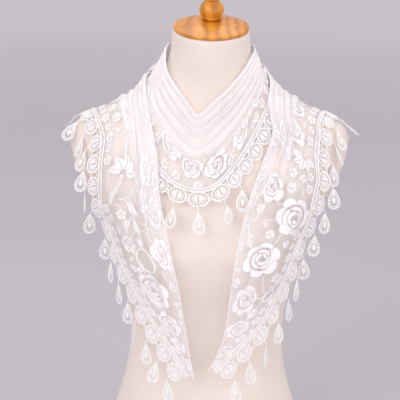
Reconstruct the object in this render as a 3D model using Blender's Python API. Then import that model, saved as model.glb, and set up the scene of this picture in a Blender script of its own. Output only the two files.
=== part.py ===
"""A lace shawl worn on a limbless dress form.

The shawl is one long triangle of lace. Its middle hangs on the chest as a bib
with cowl folds, its two ends go behind the neck, cross there, come forward
over the shoulders and hang down the front. The plain long edge is the inner
edge everywhere, and the two short edges carry a scalloped lace edging with
hanging drops.

Units are metres, +Z is up, the form faces -Y and stands on the XY plane.
Every stretch of cloth is laid out between an inner and an outer edge, given
as stations with real positions, settled on the form and lifted by its folds.
"""

import math
from collections import namedtuple

import bmesh
import bpy
import numpy as np
from mathutils import Vector
from mathutils.bvhtree import BVHTree

# Driving dimensions
CLOTH_THICKNESS = 0.0011
CLOTH_CLEARANCE = 0.0003
LAYER_GAP = 0.0019
SEAM_GAP = 0.0004
EDGING_THICKNESS = 0.0012
EDGING_PITCH = 0.033
BIB_PITCH = 0.025
EDGING_DEPTH = 0.027
EDGING_LIFT = 0.003
DROP_CLEARANCE = 0.0024
EDGING_LIFT_ON_CLOTH = 0.0045
DROP_THICKNESS = 0.0015
DROP_WIDTH = 0.020
DROP_LENGTH = 0.030
STEM_LENGTH = 0.008
STEM_REACH = 0.8
NECK_TILT = 14.0
EDGING_DROOP = 0.25
DROP_SWAY = 7.0

# Horizontal sections of the dress form, from the base to the top of the neck.
# front, back and middle are distances from the axis: the section is widest at
# y = middle. lean is how far, in degrees, a section tips forward.
Ring = namedtuple("Ring", "height half_width front back middle lean power")
FORM_RINGS = (
    Ring(0.000, 0.154, 0.108, 0.118, 0.004, 0, 2.2),
    Ring(0.055, 0.150, 0.110, 0.122, 0.006, 0, 2.2),
    Ring(0.117, 0.130, 0.100, 0.106, 0.004, 0, 2.2),
    Ring(0.160, 0.119, 0.092, 0.090, 0.000, 0, 2.15),
    Ring(0.200, 0.114, 0.088, 0.080, -0.002, 0, 2.1),
    Ring(0.250, 0.118, 0.092, 0.083, -0.002, 0, 2.15),
    Ring(0.300, 0.128, 0.102, 0.090, 0.000, 0, 2.2),
    Ring(0.345, 0.139, 0.110, 0.097, 0.002, 0, 2.25),
    Ring(0.390, 0.156, 0.112, 0.104, 0.004, 0, 2.3),
    Ring(0.4465, 0.193, 0.101, 0.110, 0.008, 0, 2.3),
    Ring(0.4765, 0.204, 0.089, 0.109, 0.010, 0, 2.3),
    Ring(0.505, 0.209, 0.078, 0.103, 0.012, 0, 2.2),
    Ring(0.525, 0.202, 0.069, 0.096, 0.012, 0, 2.1),
    Ring(0.543, 0.172, 0.061, 0.086, 0.010, 0, 2.0),
    Ring(0.558, 0.130, 0.056, 0.077, 0.006, 0, 2.0),
    Ring(0.573, 0.096, 0.053, 0.069, 0.002, 2, 2.0),
    Ring(0.590, 0.078, 0.053, 0.062, -0.002, 5, 2.0),
    Ring(0.612, 0.065, 0.055, 0.055, -0.004, 9, 2.0),
    Ring(0.640, 0.058, 0.060, 0.049, -0.007, 13, 2.0),
    Ring(0.669, 0.056, 0.064, 0.045, -0.010, NECK_TILT, 2.0),
)

# The smooth surface that the cloth hangs on: the form with its hollows at the
# neck, under the arms and under the bust bridged over.
HANG_RINGS = (
    Ring(0.000, 0.154, 0.120, 0.118, 0.004, 0, 2.2),
    Ring(0.055, 0.150, 0.124, 0.122, 0.006, 0, 2.2),
    Ring(0.117, 0.132, 0.129, 0.110, 0.004, 0, 2.4),
    Ring(0.160, 0.126, 0.132, 0.104, 0.000, 0, 2.4),
    Ring(0.200, 0.124, 0.135, 0.102, -0.002, 0, 2.4),
    Ring(0.250, 0.127, 0.139, 0.102, -0.002, 0, 2.4),
    Ring(0.300, 0.133, 0.143, 0.103, 0.000, 0, 2.4),
    Ring(0.345, 0.143, 0.144, 0.105, 0.002, 0, 2.4),
    Ring(0.390, 0.157, 0.132, 0.108, 0.004, 0, 2.4),
    Ring(0.4465, 0.193, 0.108, 0.112, 0.008, 0, 2.3),
    Ring(0.4765, 0.204, 0.090, 0.110, 0.010, 0, 2.3),
    Ring(0.505, 0.209, 0.079, 0.104, 0.012, 0, 2.2),
    Ring(0.525, 0.202, 0.070, 0.097, 0.012, 0, 2.1),
    Ring(0.543, 0.172, 0.063, 0.088, 0.010, 0, 2.0),
    Ring(0.558, 0.138, 0.060, 0.082, 0.006, 0, 2.0),
    Ring(0.573, 0.110, 0.057, 0.076, 0.002, 2, 2.0),
    Ring(0.590, 0.090, 0.057, 0.070, -0.002, 5, 2.0),
    Ring(0.612, 0.074, 0.058, 0.064, -0.004, 9, 2.0),
    Ring(0.640, 0.062, 0.061, 0.055, -0.007, 13, 2.0),
    Ring(0.669, 0.057, 0.065, 0.046, -0.010, NECK_TILT, 2.0),
)
BUST_HEIGHT = 0.338
BUST_SPREAD = 0.068
BUST_FULLNESS = 0.030
BUST_WIDTH = 0.046
BUST_RISE = 0.048

# Stations of the cloth, inner (plain) edge and outer (trimmed) edge.
Station = namedtuple("Station", "inner outer")
BIB = (
    Station((-0.060, 0.006, 0.643), (-0.084, 0.007, 0.606)),
    Station((-0.061, -0.012, 0.632), (-0.097, -0.022, 0.570)),
    Station((-0.062, -0.028, 0.613), (-0.102, -0.044, 0.545)),
    Station((-0.055, -0.043, 0.597), (-0.099, -0.060, 0.520)),
    Station((-0.043, -0.051, 0.580), (-0.085, -0.075, 0.497)),
    Station((-0.030, -0.057, 0.563), (-0.057, -0.094, 0.464)),
    Station((-0.019, -0.060, 0.549), (-0.028, -0.105, 0.451)),
    Station((-0.007, -0.060, 0.556), (0.002, -0.105, 0.453)),
    Station((0.014, -0.056, 0.576), (0.028, -0.090, 0.476)),
    Station((0.033, -0.053, 0.596), (0.052, -0.075, 0.507)),
    Station((0.046, -0.045, 0.612), (0.072, -0.055, 0.545)),
    Station((0.054, -0.034, 0.626), (0.082, -0.036, 0.570)),
    Station((0.057, -0.014, 0.636), (0.079, -0.016, 0.596)),
    Station((0.058, 0.006, 0.642), (0.073, 0.007, 0.612)),
)
LEFT_STRIP = (
    Station((0.058, 0.006, 0.642), (0.073, 0.007, 0.612)),
    Station((0.038, 0.044, 0.632), (0.078, 0.062, 0.560)),
    Station((0.000, 0.056, 0.624), (0.032, 0.100, 0.508)),
    Station((-0.038, 0.050, 0.616), (-0.028, 0.112, 0.458)),
    Station((-0.066, 0.044, 0.603), (-0.092, 0.108, 0.440)),
    Station((-0.083, 0.026, 0.602), (-0.146, 0.078, 0.480)),
    Station((-0.090, 0.004, 0.601), (-0.168, 0.006, 0.545)),
    Station((-0.091, -0.026, 0.582), (-0.160, -0.028, 0.537)),
    Station((-0.088, -0.046, 0.557), (-0.150, -0.050, 0.515)),
    Station((-0.082, -0.062, 0.528), (-0.151, -0.060, 0.490)),
    Station((-0.074, -0.082, 0.488), (-0.152, -0.068, 0.462)),
    Station((-0.069, -0.106, 0.440), (-0.152, -0.071, 0.428)),
    Station((-0.060, -0.124, 0.396), (-0.147, -0.068, 0.400)),
    Station((-0.050, -0.137, 0.352), (-0.133, -0.076, 0.369)),
    Station((-0.042, -0.141, 0.318), (-0.117, -0.093, 0.334)),
    Station((-0.036, -0.139, 0.284), (-0.101, -0.107, 0.307)),
    Station((-0.031, -0.137, 0.254), (-0.080, -0.120, 0.272)),
    Station((-0.026, -0.135, 0.226), (-0.059, -0.128, 0.241)),
    Station((-0.022, -0.134, 0.202), (-0.040, -0.131, 0.211)),
    Station((-0.018, -0.133, 0.180), (-0.025, -0.132, 0.183)),
)
RIGHT_STRIP = (
    Station((-0.060, 0.006, 0.643), (-0.084, 0.007, 0.606)),
    Station((-0.055, 0.026, 0.641), (-0.090, 0.028, 0.591)),
    Station((-0.042, 0.044, 0.636), (-0.086, 0.060, 0.559)),
    Station((0.000, 0.058, 0.630), (-0.034, 0.100, 0.508)),
    Station((0.036, 0.050, 0.624), (0.026, 0.114, 0.460)),
    Station((0.062, 0.036, 0.616), (0.094, 0.108, 0.444)),
    Station((0.073, 0.020, 0.610), (0.146, 0.080, 0.482)),
    Station((0.078, -0.001, 0.604), (0.165, 0.006, 0.546)),
    Station((0.080, -0.026, 0.580), (0.154, -0.030, 0.538)),
    Station((0.083, -0.048, 0.556), (0.152, -0.050, 0.515)),
    Station((0.089, -0.063, 0.525), (0.150, -0.060, 0.492)),
    Station((0.077, -0.082, 0.488), (0.151, -0.068, 0.463)),
    Station((0.062, -0.104, 0.450), (0.148, -0.075, 0.434)),
    Station((0.051, -0.118, 0.418), (0.138, -0.079, 0.403)),
    Station((0.042, -0.134, 0.376), (0.127, -0.086, 0.373)),
    Station((0.036, -0.142, 0.335), (0.112, -0.101, 0.340)),
    Station((0.031, -0.141, 0.292), (0.096, -0.111, 0.303)),
    Station((0.027, -0.138, 0.256), (0.073, -0.124, 0.261)),
    Station((0.021, -0.136, 0.231), (0.048, -0.131, 0.234)),
    Station((0.013, -0.135, 0.209), (0.027, -0.134, 0.212)),
    Station((0.003, -0.134, 0.191), (0.010, -0.134, 0.193)),
)
LEFT_RIDGE_STATION = 6
RIGHT_RIDGE_STATION = 7

# Stretches of each piece, by station, and the spacing of its rows along the
# hem. The second stretch is the trimmed one: two rows for each scallop.
Span = namedtuple("Span", "begin finish spacing")
TRIMMED = 1
BIB_SPANS = (Span(0, 4.2, 0.028), Span(4.2, 11.2, BIB_PITCH / 2), Span(11.2, 13, 0.026))
LEFT_SPANS = (Span(0, 2.8, 0.04), Span(2.8, 19, EDGING_PITCH / 2))
RIGHT_SPANS = (Span(0, 1.8, 0.024), Span(1.8, 20, EDGING_PITCH / 2))

# Columns of each piece as shares of the width: crests, valleys and flanks.
BIB_COLUMNS = (
    0, 0.04, 0.07, 0.10, 0.13, 0.16, 0.19, 0.22, 0.25, 0.285,
    0.355, 0.425, 0.49, 0.56, 0.63, 0.71, 0.80, 0.90, 1,
)
LEFT_COLUMNS = (0, 0.05, 0.105, 0.16, 0.215, 0.28, 0.335, 0.39, 0.46, 0.54, 0.62, 0.71, 0.85, 1)
RIGHT_COLUMNS = (0, 0.05, 0.11, 0.175, 0.225, 0.27, 0.34, 0.425, 0.50, 0.57, 0.65, 0.72, 0.86, 1)

# Folds: from and to are station numbers, across is a share of the width from
# the inner edge, half_width is a share too, and height is in metres.
Fold = namedtuple("Fold", "begin finish across_begin across_finish half_width height")
BIB_FOLDS = (
    Fold(-2, 16, 0.04, 0.04, 0.042, 0.0060),
    Fold(-2, 16, 0.17, 0.15, 0.040, 0.0065),
    Fold(-2, 16, 0.29, 0.28, 0.042, 0.0075),
    Fold(-2, 16, 0.43, 0.42, 0.045, 0.0070),
    Fold(-2, 15, 0.57, 0.55, 0.050, 0.0055),
    Fold(-2, 6, 0.72, 0.70, 0.055, 0.0045),
    Fold(7, 12, 0.70, 0.74, 0.060, 0.0030),
)
LEFT_FOLDS = (
    Fold(-2, 9, 0.05, 0.04, 0.040, 0.0050),
    Fold(-2, 12, 0.16, 0.15, 0.042, 0.0058),
    Fold(-2, 20, 0.27, 0.30, 0.048, 0.0060),
    Fold(-2, 11, 0.39, 0.40, 0.050, 0.0050),
    Fold(1, 10, 0.53, 0.56, 0.060, 0.0045),
    Fold(6, 15, 0.70, 0.72, 0.080, 0.0040),
)
RIGHT_FOLDS = (
    Fold(-2, 12, 0.05, 0.05, 0.040, 0.0036),
    Fold(-2, 14, 0.17, 0.18, 0.045, 0.0044),
    Fold(-2, 15, 0.28, 0.26, 0.046, 0.0048),
    Fold(-2, 13, 0.41, 0.44, 0.052, 0.0040),
    Fold(2, 12, 0.56, 0.58, 0.060, 0.0040),
    Fold(8, 17, 0.74, 0.70, 0.080, 0.0042),
)
FOLD_FULL_WIDTH = 0.105
HEM_WAVE_HEIGHT = 0.0035
HEM_WAVE_LENGTH = 0.085

# One repeat of the edging: along is a share of the pitch, depth a share of
# the edging's depth from the heading to the tip of the scallop.
Corner = namedtuple("Corner", "along depth")
SCALLOP = {
    "heading_start": Corner(0.00, 0.00),
    "heading_middle": Corner(0.50, 0.00),
    "band_start": Corner(0.00, 0.20),
    "band_left": Corner(0.27, 0.20),
    "band_right": Corner(0.73, 0.20),
    "side_left_high": Corner(0.07, 0.44),
    "side_right_high": Corner(0.93, 0.44),
    "side_left_low": Corner(0.07, 0.62),
    "side_right_low": Corner(0.93, 0.62),
    "shoulder_left": Corner(0.21, 0.86),
    "shoulder_right": Corner(0.79, 0.86),
    "tip_left": Corner(0.465, 1.00),
    "tip_right": Corner(0.535, 1.00),
}
SCALLOP_FACES = (
    ("heading_start", "heading_middle", "band_left", "band_start"),
    ("heading_middle", "band_right", "band_left"),
    ("heading_middle", "next:heading_start", "next:band_start", "band_right"),
    ("band_left", "band_right", "side_right_high", "side_left_high"),
    ("side_left_high", "side_right_high", "side_right_low", "side_left_low"),
    ("side_left_low", "side_right_low", "shoulder_right", "shoulder_left"),
    ("shoulder_left", "shoulder_right", "tip_right", "tip_left"),
)
SCALLOP_BRIDGE = (
    "side_right_high",
    "next:side_left_high",
    "next:side_left_low",
    "side_right_low",
)
# Cross-sections of a drop: how far down its length, its share of the width,
# and how much of the drop's twist it has.
DropSection = namedtuple("DropSection", "down width turned")
DROP_SECTIONS = (
    DropSection(0.00, 0.16, 0.6),
    DropSection(0.30, 0.62, 0.85),
    DropSection(0.62, 1.00, 1.0),
    DropSection(0.87, 0.76, 1.0),
    DropSection(1.00, 0.24, 1.0),
)
# How far each drop in turn has twisted round on its stem, in degrees.
DROP_TWISTS = (0, 18, -12, 45, 8, -25, 15, 0, -42, 12, 25, -8, 48, 5, -18)
# What a drop tries in turn until it touches nothing: how much of its twist it
# keeps, and how far it swings away from the cloth, in degrees.
DROP_TRIALS = ((1, 0), (0.6, 4), (0.3, 8), (0, 0), (0, 8), (-0.5, 8), (0, 16), (0.5, 20), (0, 28))
# Scallops of the bib whose drops would lie under a tail.
BIB_BARE_SCALLOPS = (0, 1, 6, 7, 8, 9, 10)

NECK_CAP_RADIUS = 0.0555
NECK_CAP_RIM = 0.006
NECK_CAP_RISE = 0.009
FINIAL_RADIUS = 0.0185
FINIAL_HEIGHT = 0.044


def smoothstep(low, high, value):
    """Rises smoothly from 0 at low to 1 at high."""
    t = np.clip((value - low) / (high - low), 0.0, 1.0)
    return t * t * (3 - 2 * t)


def curve_at(knots, values, at):
    """Reads a smooth curve through values, given at knots, at one place."""
    last = len(knots) - 1
    index = min(max(int(np.searchsorted(knots, at)) - 1, 0), last - 1)
    span = knots[index + 1] - knots[index]

    def slope(k):
        low, high = max(k - 1, 0), min(k + 1, last)
        return (values[high] - values[low]) / (knots[high] - knots[low])

    t = (at - knots[index]) / span
    start, end = values[index], values[index + 1]
    rise, fall = slope(index) * span, slope(index + 1) * span
    return (
        (2 * t**3 - 3 * t**2 + 1) * start
        + (t**3 - 2 * t**2 + t) * rise
        + (3 * t**2 - 2 * t**3) * end
        + (t**3 - t**2) * fall
    )


def section(rings, height, count, bust):
    """Points round one horizontal section of the form, counterclockwise."""
    knots = [ring.height for ring in rings]
    names = ("half_width", "front", "back", "middle", "lean", "power")
    half_width, front, back, middle, lean, power = (
        curve_at(knots, [getattr(ring, name) for ring in rings], height)
        for name in names
    )
    points = []
    for k in range(count):
        angle = 2 * math.pi * k / count
        across, deep = math.cos(angle), math.sin(angle)
        x = half_width * math.copysign(abs(across) ** (2 / power), across)
        reach = back - middle if deep > 0 else front + middle
        y = middle + reach * math.copysign(abs(deep) ** (2 / power), deep)
        if bust and deep < 0:
            rise = ((height - BUST_HEIGHT) / BUST_RISE) ** 2
            for side in (-1, 1):
                spread = ((x - side * BUST_SPREAD) / BUST_WIDTH) ** 2
                y -= BUST_FULLNESS * math.sqrt(abs(deep)) * math.exp(-spread - rise)
        points.append((x, y, height + math.tan(math.radians(lean)) * y))
    return points


def loft(rings, heights, count, bust):
    """Vertices and side faces of a body lofted through sections."""
    vertices, faces = [], []
    for height in heights:
        vertices += section(rings, height, count, bust)
    for row in range(len(heights) - 1):
        for k in range(count):
            here = row * count + k
            beside = row * count + (k + 1) % count
            faces.append((here, beside, beside + count, here + count))
    return vertices, faces


class Layers:
    """The surface that the cloth hangs on, and what already lies on it."""

    REACH = 0.09

    def __init__(self):
        heights = np.linspace(0.0, HANG_RINGS[-1].height, 150)
        self.hang = BVHTree.FromPolygons(*loft(HANG_RINGS, heights, 180, False))
        self.laid = []

    def foot(self, point):
        """The nearest place on the surface, and its outward normal."""
        place, normal, _, _ = self.hang.find_nearest(Vector(point))
        return np.array(place), np.array(normal)

    def add(self, vertices, faces):
        """Takes in a solid that later pieces have to clear."""
        self.laid.append(BVHTree.FromPolygons([tuple(v) for v in vertices], faces))

    def top(self, place, normal):
        """How far out from place the outermost laid solid reaches, or 0."""
        start = Vector(place) + Vector(normal) * self.REACH
        highest = 0.0
        for tree in self.laid:
            hit = tree.ray_cast(start, -Vector(normal), self.REACH)
            if hit[0] is not None:
                highest = max(highest, self.REACH - hit[3])
        return highest

    def shortfall(self, point, gap, cloth_gap):
        """How far a point must move out to clear what is below, and where to."""
        place, normal = self.foot(point)
        top = self.top(place, normal)
        least = top + cloth_gap if top > 0 else gap
        return least - float(np.dot(np.array(point) - place, normal)), normal

    def clear(self, point, gap, cloth_gap):
        """Moves a point out until it lies the gap above everything below it."""
        lack, normal = self.shortfall(point, gap, cloth_gap)
        return np.array(point) + normal * max(lack, 0.0)

    def hang_free(self, start, out, outline):
        """The steepest direction in which a straight piece hangs clear.

        outline lists, for a direction, the points of the piece to test and
        the gap that each of them needs.
        """
        _, normal = self.foot(start)
        aside = np.array([normal[0], normal[1], 0.0]) + 0.3 * np.array([out[0], out[1], 0.0])
        aside /= np.linalg.norm(aside)
        best, least = None, math.inf
        for angle in range(0, 101, 4):
            turn = math.radians(angle)
            axis = aside * math.sin(turn) - np.array([0.0, 0.0, math.cos(turn)])
            lack = max(self.shortfall(point, gap, gap)[0] for point, gap in outline(axis))
            if lack < least - 0.0002:
                best, least = axis, lack
            if lack <= 0.0003:
                break
        return best


def fold_height(folds, station, across, width):
    """Height of all folds at one place of the cloth."""
    total = 0.0
    for fold in folds:
        share = (station - fold.begin) / (fold.finish - fold.begin)
        if not 0 < share < 1:
            continue
        centre = fold.across_begin + (fold.across_finish - fold.across_begin) * share
        fade = smoothstep(0, 0.12, share) * (1 - smoothstep(0.75, 1, share))
        spread = ((across - centre) / fold.half_width) ** 2
        total += fold.height * fade * math.exp(-spread)
    return total * min(1.0, (width / FOLD_FULL_WIDTH)) ** 0.8


def grid_normals(points):
    """Outward unit normals of a grid of points (along, across, xyz)."""
    along = np.gradient(points, axis=0)
    across = np.gradient(points, axis=1)
    normals = np.cross(across, along)
    return normals / np.linalg.norm(normals, axis=2, keepdims=True)


def spread_most(values):
    """Each value becomes the largest of itself and its neighbours."""
    padded = np.pad(values, 1, mode="edge")
    shifts = [
        padded[1 + i : 1 + i + values.shape[0], 1 + k : 1 + k + values.shape[1]]
        for i in (-1, 0, 1)
        for k in (-1, 0, 1)
    ]
    return np.max(shifts, axis=0)


def soften(values, rounds):
    """Averages a grid with its neighbours a few times."""
    for _ in range(rounds):
        padded = np.pad(values, 1, mode="edge")
        values = (
            padded[1:-1, 1:-1] * 2
            + padded[:-2, 1:-1]
            + padded[2:, 1:-1]
            + padded[1:-1, :-2]
            + padded[1:-1, 2:]
        ) / 6
    return values


class Strip:
    """One stretch of cloth laid on the form: a grid of underside points."""

    def __init__(self, layers, stations, spans, columns, folds, lead=None):
        self.stations = stations
        self.spans = spans
        self.columns = np.array(columns)
        self.folds = folds
        self.layers = layers
        self.places, self.trimmed = self.place_rows()
        self.points, self.normals = self.settle(lead)

    def edge_points(self, place):
        """The inner and outer edge's own positions at a place."""
        knots = list(range(len(self.stations)))
        inner = [np.array(s.inner) for s in self.stations]
        outer = [np.array(s.outer) for s in self.stations]
        return curve_at(knots, inner, place), curve_at(knots, outer, place)

    def place_rows(self):
        """Rows evenly spaced along the hem, and the trimmed rows' numbers."""
        places, trimmed = [float(self.spans[0].begin)], (0, 0)
        for number, span in enumerate(self.spans):
            fine = np.linspace(span.begin, span.finish, 300)
            line = np.array([self.edge_points(place)[1] for place in fine])
            steps = np.linalg.norm(np.diff(line, axis=0), axis=1)
            length = np.concatenate([[0], np.cumsum(steps)])
            count = max(1, round(length[-1] / span.spacing))
            if number == TRIMMED:
                count = 2 * max(1, round(length[-1] / span.spacing / 2))
                trimmed = (len(places) - 1, len(places) - 1 + count)
            marks = np.linspace(0, length[-1], count + 1)[1:]
            places += list(np.interp(marks, length, fine))
        return np.array(places), trimmed

    def settle(self, lead):
        """Lays the grid on the hanging surface and lifts it by its folds."""
        feet = np.zeros((len(self.places), len(self.columns), 3))
        outward = np.zeros_like(feet)
        lift = np.zeros(feet.shape[:2])
        under = np.zeros(feet.shape[:2])
        length = 0.0
        before = None
        for i, place in enumerate(self.places):
            inner, outer = self.edge_points(place)
            width = float(np.linalg.norm(outer - inner))
            middle = (inner + outer) / 2
            if before is not None:
                length += float(np.linalg.norm(middle - before))
            before = middle
            wave = (1 + math.sin(2 * math.pi * length / HEM_WAVE_LENGTH)) / 2
            for k, share in enumerate(self.columns):
                feet[i, k], outward[i, k] = self.layers.foot(inner + (outer - inner) * share)
                lift[i, k] = fold_height(self.folds, place, share, width)
                lift[i, k] += HEM_WAVE_HEIGHT * wave * share**2 * min(1, width / 0.06)
                if i > 0 or lead is None:
                    under[i, k] = self.layers.top(feet[i, k], outward[i, k])
                if i > 1:
                    between = (feet[i, k] + feet[i - 1, k]) / 2
                    top = self.layers.top(between, outward[i, k])
                    under[i, k] = max(under[i, k], top)
                    under[i - 1, k] = max(under[i - 1, k], top)
        normals = grid_normals(feet)
        sign = np.sign(np.sum(normals * outward, axis=2, keepdims=True))
        normals = normals * sign
        least = np.where(under > 0, under + LAYER_GAP, CLOTH_CLEARANCE)
        need = np.maximum(soften(spread_most(least), 1), least)
        points = feet + normals * (need + lift)[:, :, None]
        if lead is not None:
            columns, row, row_normals = lead
            for axis in range(3):
                points[0, :, axis] = np.interp(self.columns, columns, row[:, axis])
                normals[0, :, axis] = np.interp(self.columns, columns, row_normals[:, axis])
        return points, normals

    def hem(self, row):
        """Position, direction away from the cloth and normal at a hem row."""
        last = len(self.places) - 1
        here = self.points[row, -1]
        run = self.points[min(row + 1, last), -1] - self.points[max(row - 1, 0), -1]
        run /= np.linalg.norm(run)
        normal = self.normals[row, -1] - run * np.dot(self.normals[row, -1], run)
        normal /= np.linalg.norm(normal)
        out = np.cross(run, normal)
        if np.dot(out, here - self.points[row, -2]) < 0:
            out = -out
        return here, out, normal


def wall_mesh(points, normals, thickness):
    """Vertices and faces of a closed wall over a grid of underside points."""
    rows, columns = points.shape[:2]
    under = points.reshape(-1, 3)
    over = (points + normals * thickness).reshape(-1, 3)
    vertices = np.concatenate([under, over])
    shift = rows * columns
    faces = []
    for i in range(rows - 1):
        for k in range(columns - 1):
            a = i * columns + k
            b, c, d = a + 1, a + 1 + columns, a + columns
            slash = np.linalg.norm(under[a] - under[c])
            halves = ((a, b, c), (a, c, d))
            if np.linalg.norm(under[b] - under[d]) < slash:
                halves = ((a, b, d), (b, c, d))
            for half in halves:
                faces.append(half)
                faces.append(tuple(v + shift for v in reversed(half)))
    rim = [k for k in range(columns)]
    rim += [i * columns + columns - 1 for i in range(1, rows)]
    rim += [(rows - 1) * columns + k for k in range(columns - 2, -1, -1)]
    rim += [i * columns for i in range(rows - 2, 0, -1)]
    for here, beside in zip(rim, rim[1:] + rim[:1]):
        faces.append((beside, here, here + shift))
        faces.append((beside, here + shift, beside + shift))
    return vertices, faces


def add_object(name, vertices, faces, material, smooth=True):
    """Makes one named object whose faces point outwards."""
    mesh = bpy.data.meshes.new(name)
    mesh.from_pydata([tuple(v) for v in vertices], [], faces)
    shaper = bmesh.new()
    shaper.from_mesh(mesh)
    bmesh.ops.recalc_face_normals(shaper, faces=shaper.faces)
    shaper.to_mesh(mesh)
    shaper.free()
    if smooth:
        mesh.shade_smooth()
        mesh.set_sharp_from_angle(angle=math.radians(50))
    mesh.materials.append(material)
    item = bpy.data.objects.new(name, mesh)
    bpy.context.scene.collection.objects.link(item)
    return item


def material(name, colour, roughness):
    """A plain material with one colour."""
    made = bpy.data.materials.new(name)
    made.use_nodes = True
    shader = made.node_tree.nodes["Principled BSDF"]
    shader.inputs["Base Color"].default_value = (*colour, 1.0)
    shader.inputs["Roughness"].default_value = roughness
    shader.inputs["Metallic"].default_value = 0.0
    return made


class Edging:
    """The scalloped lace edging along one hem, with a drop on each scallop."""

    def __init__(self, layers, strip, bare, first_twist):
        self.layers = layers
        self.first_twist = first_twist
        self.strip = strip
        self.first_row, last_row = strip.trimmed
        self.count = (last_row - self.first_row) // 2
        self.vertices = []
        self.faces = []
        self.drops = []
        self.units = [
            {name: self.pair(unit, corner) for name, corner in SCALLOP.items()}
            for unit in range(self.count)
        ]
        ends = ("heading_start", "band_start")
        self.end = {name: self.pair(self.count, SCALLOP[name]) for name in ends}
        self.band()
        layers.add(self.vertices, self.faces)
        for unit in range(self.count - 1, -1, -1):
            if unit in bare:
                self.close_tip(unit)
            else:
                self.drop(unit)

    def hem(self, mark):
        """The hem's position, outward direction and normal at a mark."""
        row = min(int(mark), self.first_row + 2 * self.count - 1)
        share = mark - row
        pair = zip(self.strip.hem(row), self.strip.hem(row + 1))
        return [a * (1 - share) + b * share for a, b in pair]

    def pair(self, unit, corner):
        """Adds a corner's under and over vertex, and returns the under index."""
        here, out, normal = self.hem(self.first_row + 2 * (unit + corner.along))
        reach = out + np.array([0.0, 0.0, -EDGING_DROOP * corner.depth])
        reach /= np.linalg.norm(reach)
        point = here + reach * (SEAM_GAP + corner.depth * EDGING_DEPTH)
        if corner.depth > 0:
            point = self.layers.clear(point, EDGING_LIFT, EDGING_LIFT_ON_CLOTH)
        self.vertices.append(point)
        self.vertices.append(point + normal * EDGING_THICKNESS)
        return len(self.vertices) - 2

    def index(self, unit, name):
        """The under vertex of a named corner, in this repeat or the next."""
        if not name.startswith("next:"):
            return self.units[unit][name]
        name = name.removeprefix("next:")
        return self.end[name] if unit == self.count - 1 else self.units[unit + 1][name]

    def band(self):
        """Upper and lower faces of the whole band, and its rim."""
        panes = []
        for unit in range(self.count):
            names = list(SCALLOP_FACES)
            if unit < self.count - 1:
                names.append(SCALLOP_BRIDGE)
            panes += [[self.index(unit, name) for name in pane] for pane in names]
        edges = set()
        for pane in panes:
            edges |= set(zip(pane, pane[1:] + pane[:1]))
            for k in range(1, len(pane) - 1):
                half = (pane[0], pane[k], pane[k + 1])
                self.faces.append(half)
                self.faces.append(tuple(v + 1 for v in reversed(half)))
        tips = {(u["tip_right"], u["tip_left"]) for u in self.units}
        for here, beside in sorted(edges):
            if (beside, here) not in edges and (here, beside) not in tips:
                self.faces.append((beside, here, here + 1, beside + 1))

    def close_tip(self, unit):
        """Closes a scallop that has no drop."""
        left, right = self.units[unit]["tip_left"], self.units[unit]["tip_right"]
        self.faces.append((left, right, right + 1, left + 1))

    def drop(self, unit):
        """Hangs a drop from a scallop's tip, as it first comes free."""
        left, right = self.units[unit]["tip_left"], self.units[unit]["tip_right"]
        twist = DROP_TWISTS[(unit + self.first_twist) % len(DROP_TWISTS)]
        count = len(self.vertices)
        for share, swing in DROP_TRIALS:
            points = self.drop_points(unit, math.radians(twist * share), math.radians(swing))
            solid = []
            ring = [left, right, right + 1, left + 1]
            for base in range(count, count + len(points), 4):
                below = [base, base + 1, base + 2, base + 3]
                for k in range(4):
                    beside = (k + 1) % 4
                    solid.append((ring[k], ring[beside], below[beside], below[k]))
                ring = below
            solid.append(tuple(ring))
            trial = [tuple(v) for v in self.vertices + points]
            stem = BVHTree.FromPolygons(trial, solid[:4])
            body = BVHTree.FromPolygons(trial, solid[4:])
            hits = any(body.overlap(tree) for tree in self.layers.laid)
            if not hits and not any(stem.overlap(tree) for tree in self.drops):
                break
        self.vertices += points
        self.faces += solid
        self.drops.append(body)
        self.layers.laid.append(body)

    def drop_points(self, unit, twist, swing):
        """The corners of a drop's cross-sections, four to a section."""
        left, right = self.units[unit]["tip_left"], self.units[unit]["tip_right"]
        tip = (self.vertices[left] + self.vertices[right]) / 2
        side = self.vertices[right] - self.vertices[left]
        side /= np.linalg.norm(side)
        _, out, normal = self.hem(self.first_row + 2 * unit + 1)
        hand = math.copysign(1.0, np.dot(np.cross(side, normal), out))

        def frame(axis, twist):
            across = side - axis * np.dot(side, axis)
            if np.linalg.norm(across) < 0.3:
                across = hand * np.cross(normal, axis)
            across /= np.linalg.norm(across)
            facing = hand * np.cross(axis, across)
            across_turned = across * math.cos(twist) + facing * math.sin(twist)
            facing_turned = facing * math.cos(twist) - across * math.sin(twist)
            return across_turned, facing_turned

        def stem_outline(axis):
            return [(tip + axis * STEM_LENGTH, EDGING_LIFT)]

        def drop_outline(axis):
            points = []
            for part in DROP_SECTIONS[1:]:
                across, _ = frame(axis, twist * part.turned)
                centre = start + axis * DROP_LENGTH * part.down
                half = across * DROP_WIDTH * part.width / 2
                points += [(centre + half * edge, DROP_CLEARANCE) for edge in (-1, 0, 1)]
            return points

        stem = self.layers.hang_free(tip, out, stem_outline) + STEM_REACH * out
        stem /= np.linalg.norm(stem)
        start = self.layers.clear(tip + stem * STEM_LENGTH, EDGING_LIFT, EDGING_LIFT_ON_CLOTH)
        axis = self.layers.hang_free(start, out, drop_outline)
        sway = math.radians(DROP_SWAY) * (2 * ((unit * 0.618) % 1) - 1)
        axis = axis + math.tan(sway) * np.cross(normal, axis) + math.tan(swing) * normal
        axis /= np.linalg.norm(axis)
        points = []
        for part in DROP_SECTIONS:
            across, facing = frame(axis, twist * part.turned)
            centre = start + axis * DROP_LENGTH * part.down
            half = across * DROP_WIDTH * part.width / 2
            thick = facing * DROP_THICKNESS / 2
            for edge, lift in ((-1, -1), (1, -1), (1, 1), (-1, 1)):
                points.append(centre + edge * half + lift * thick)
        return points


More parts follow.
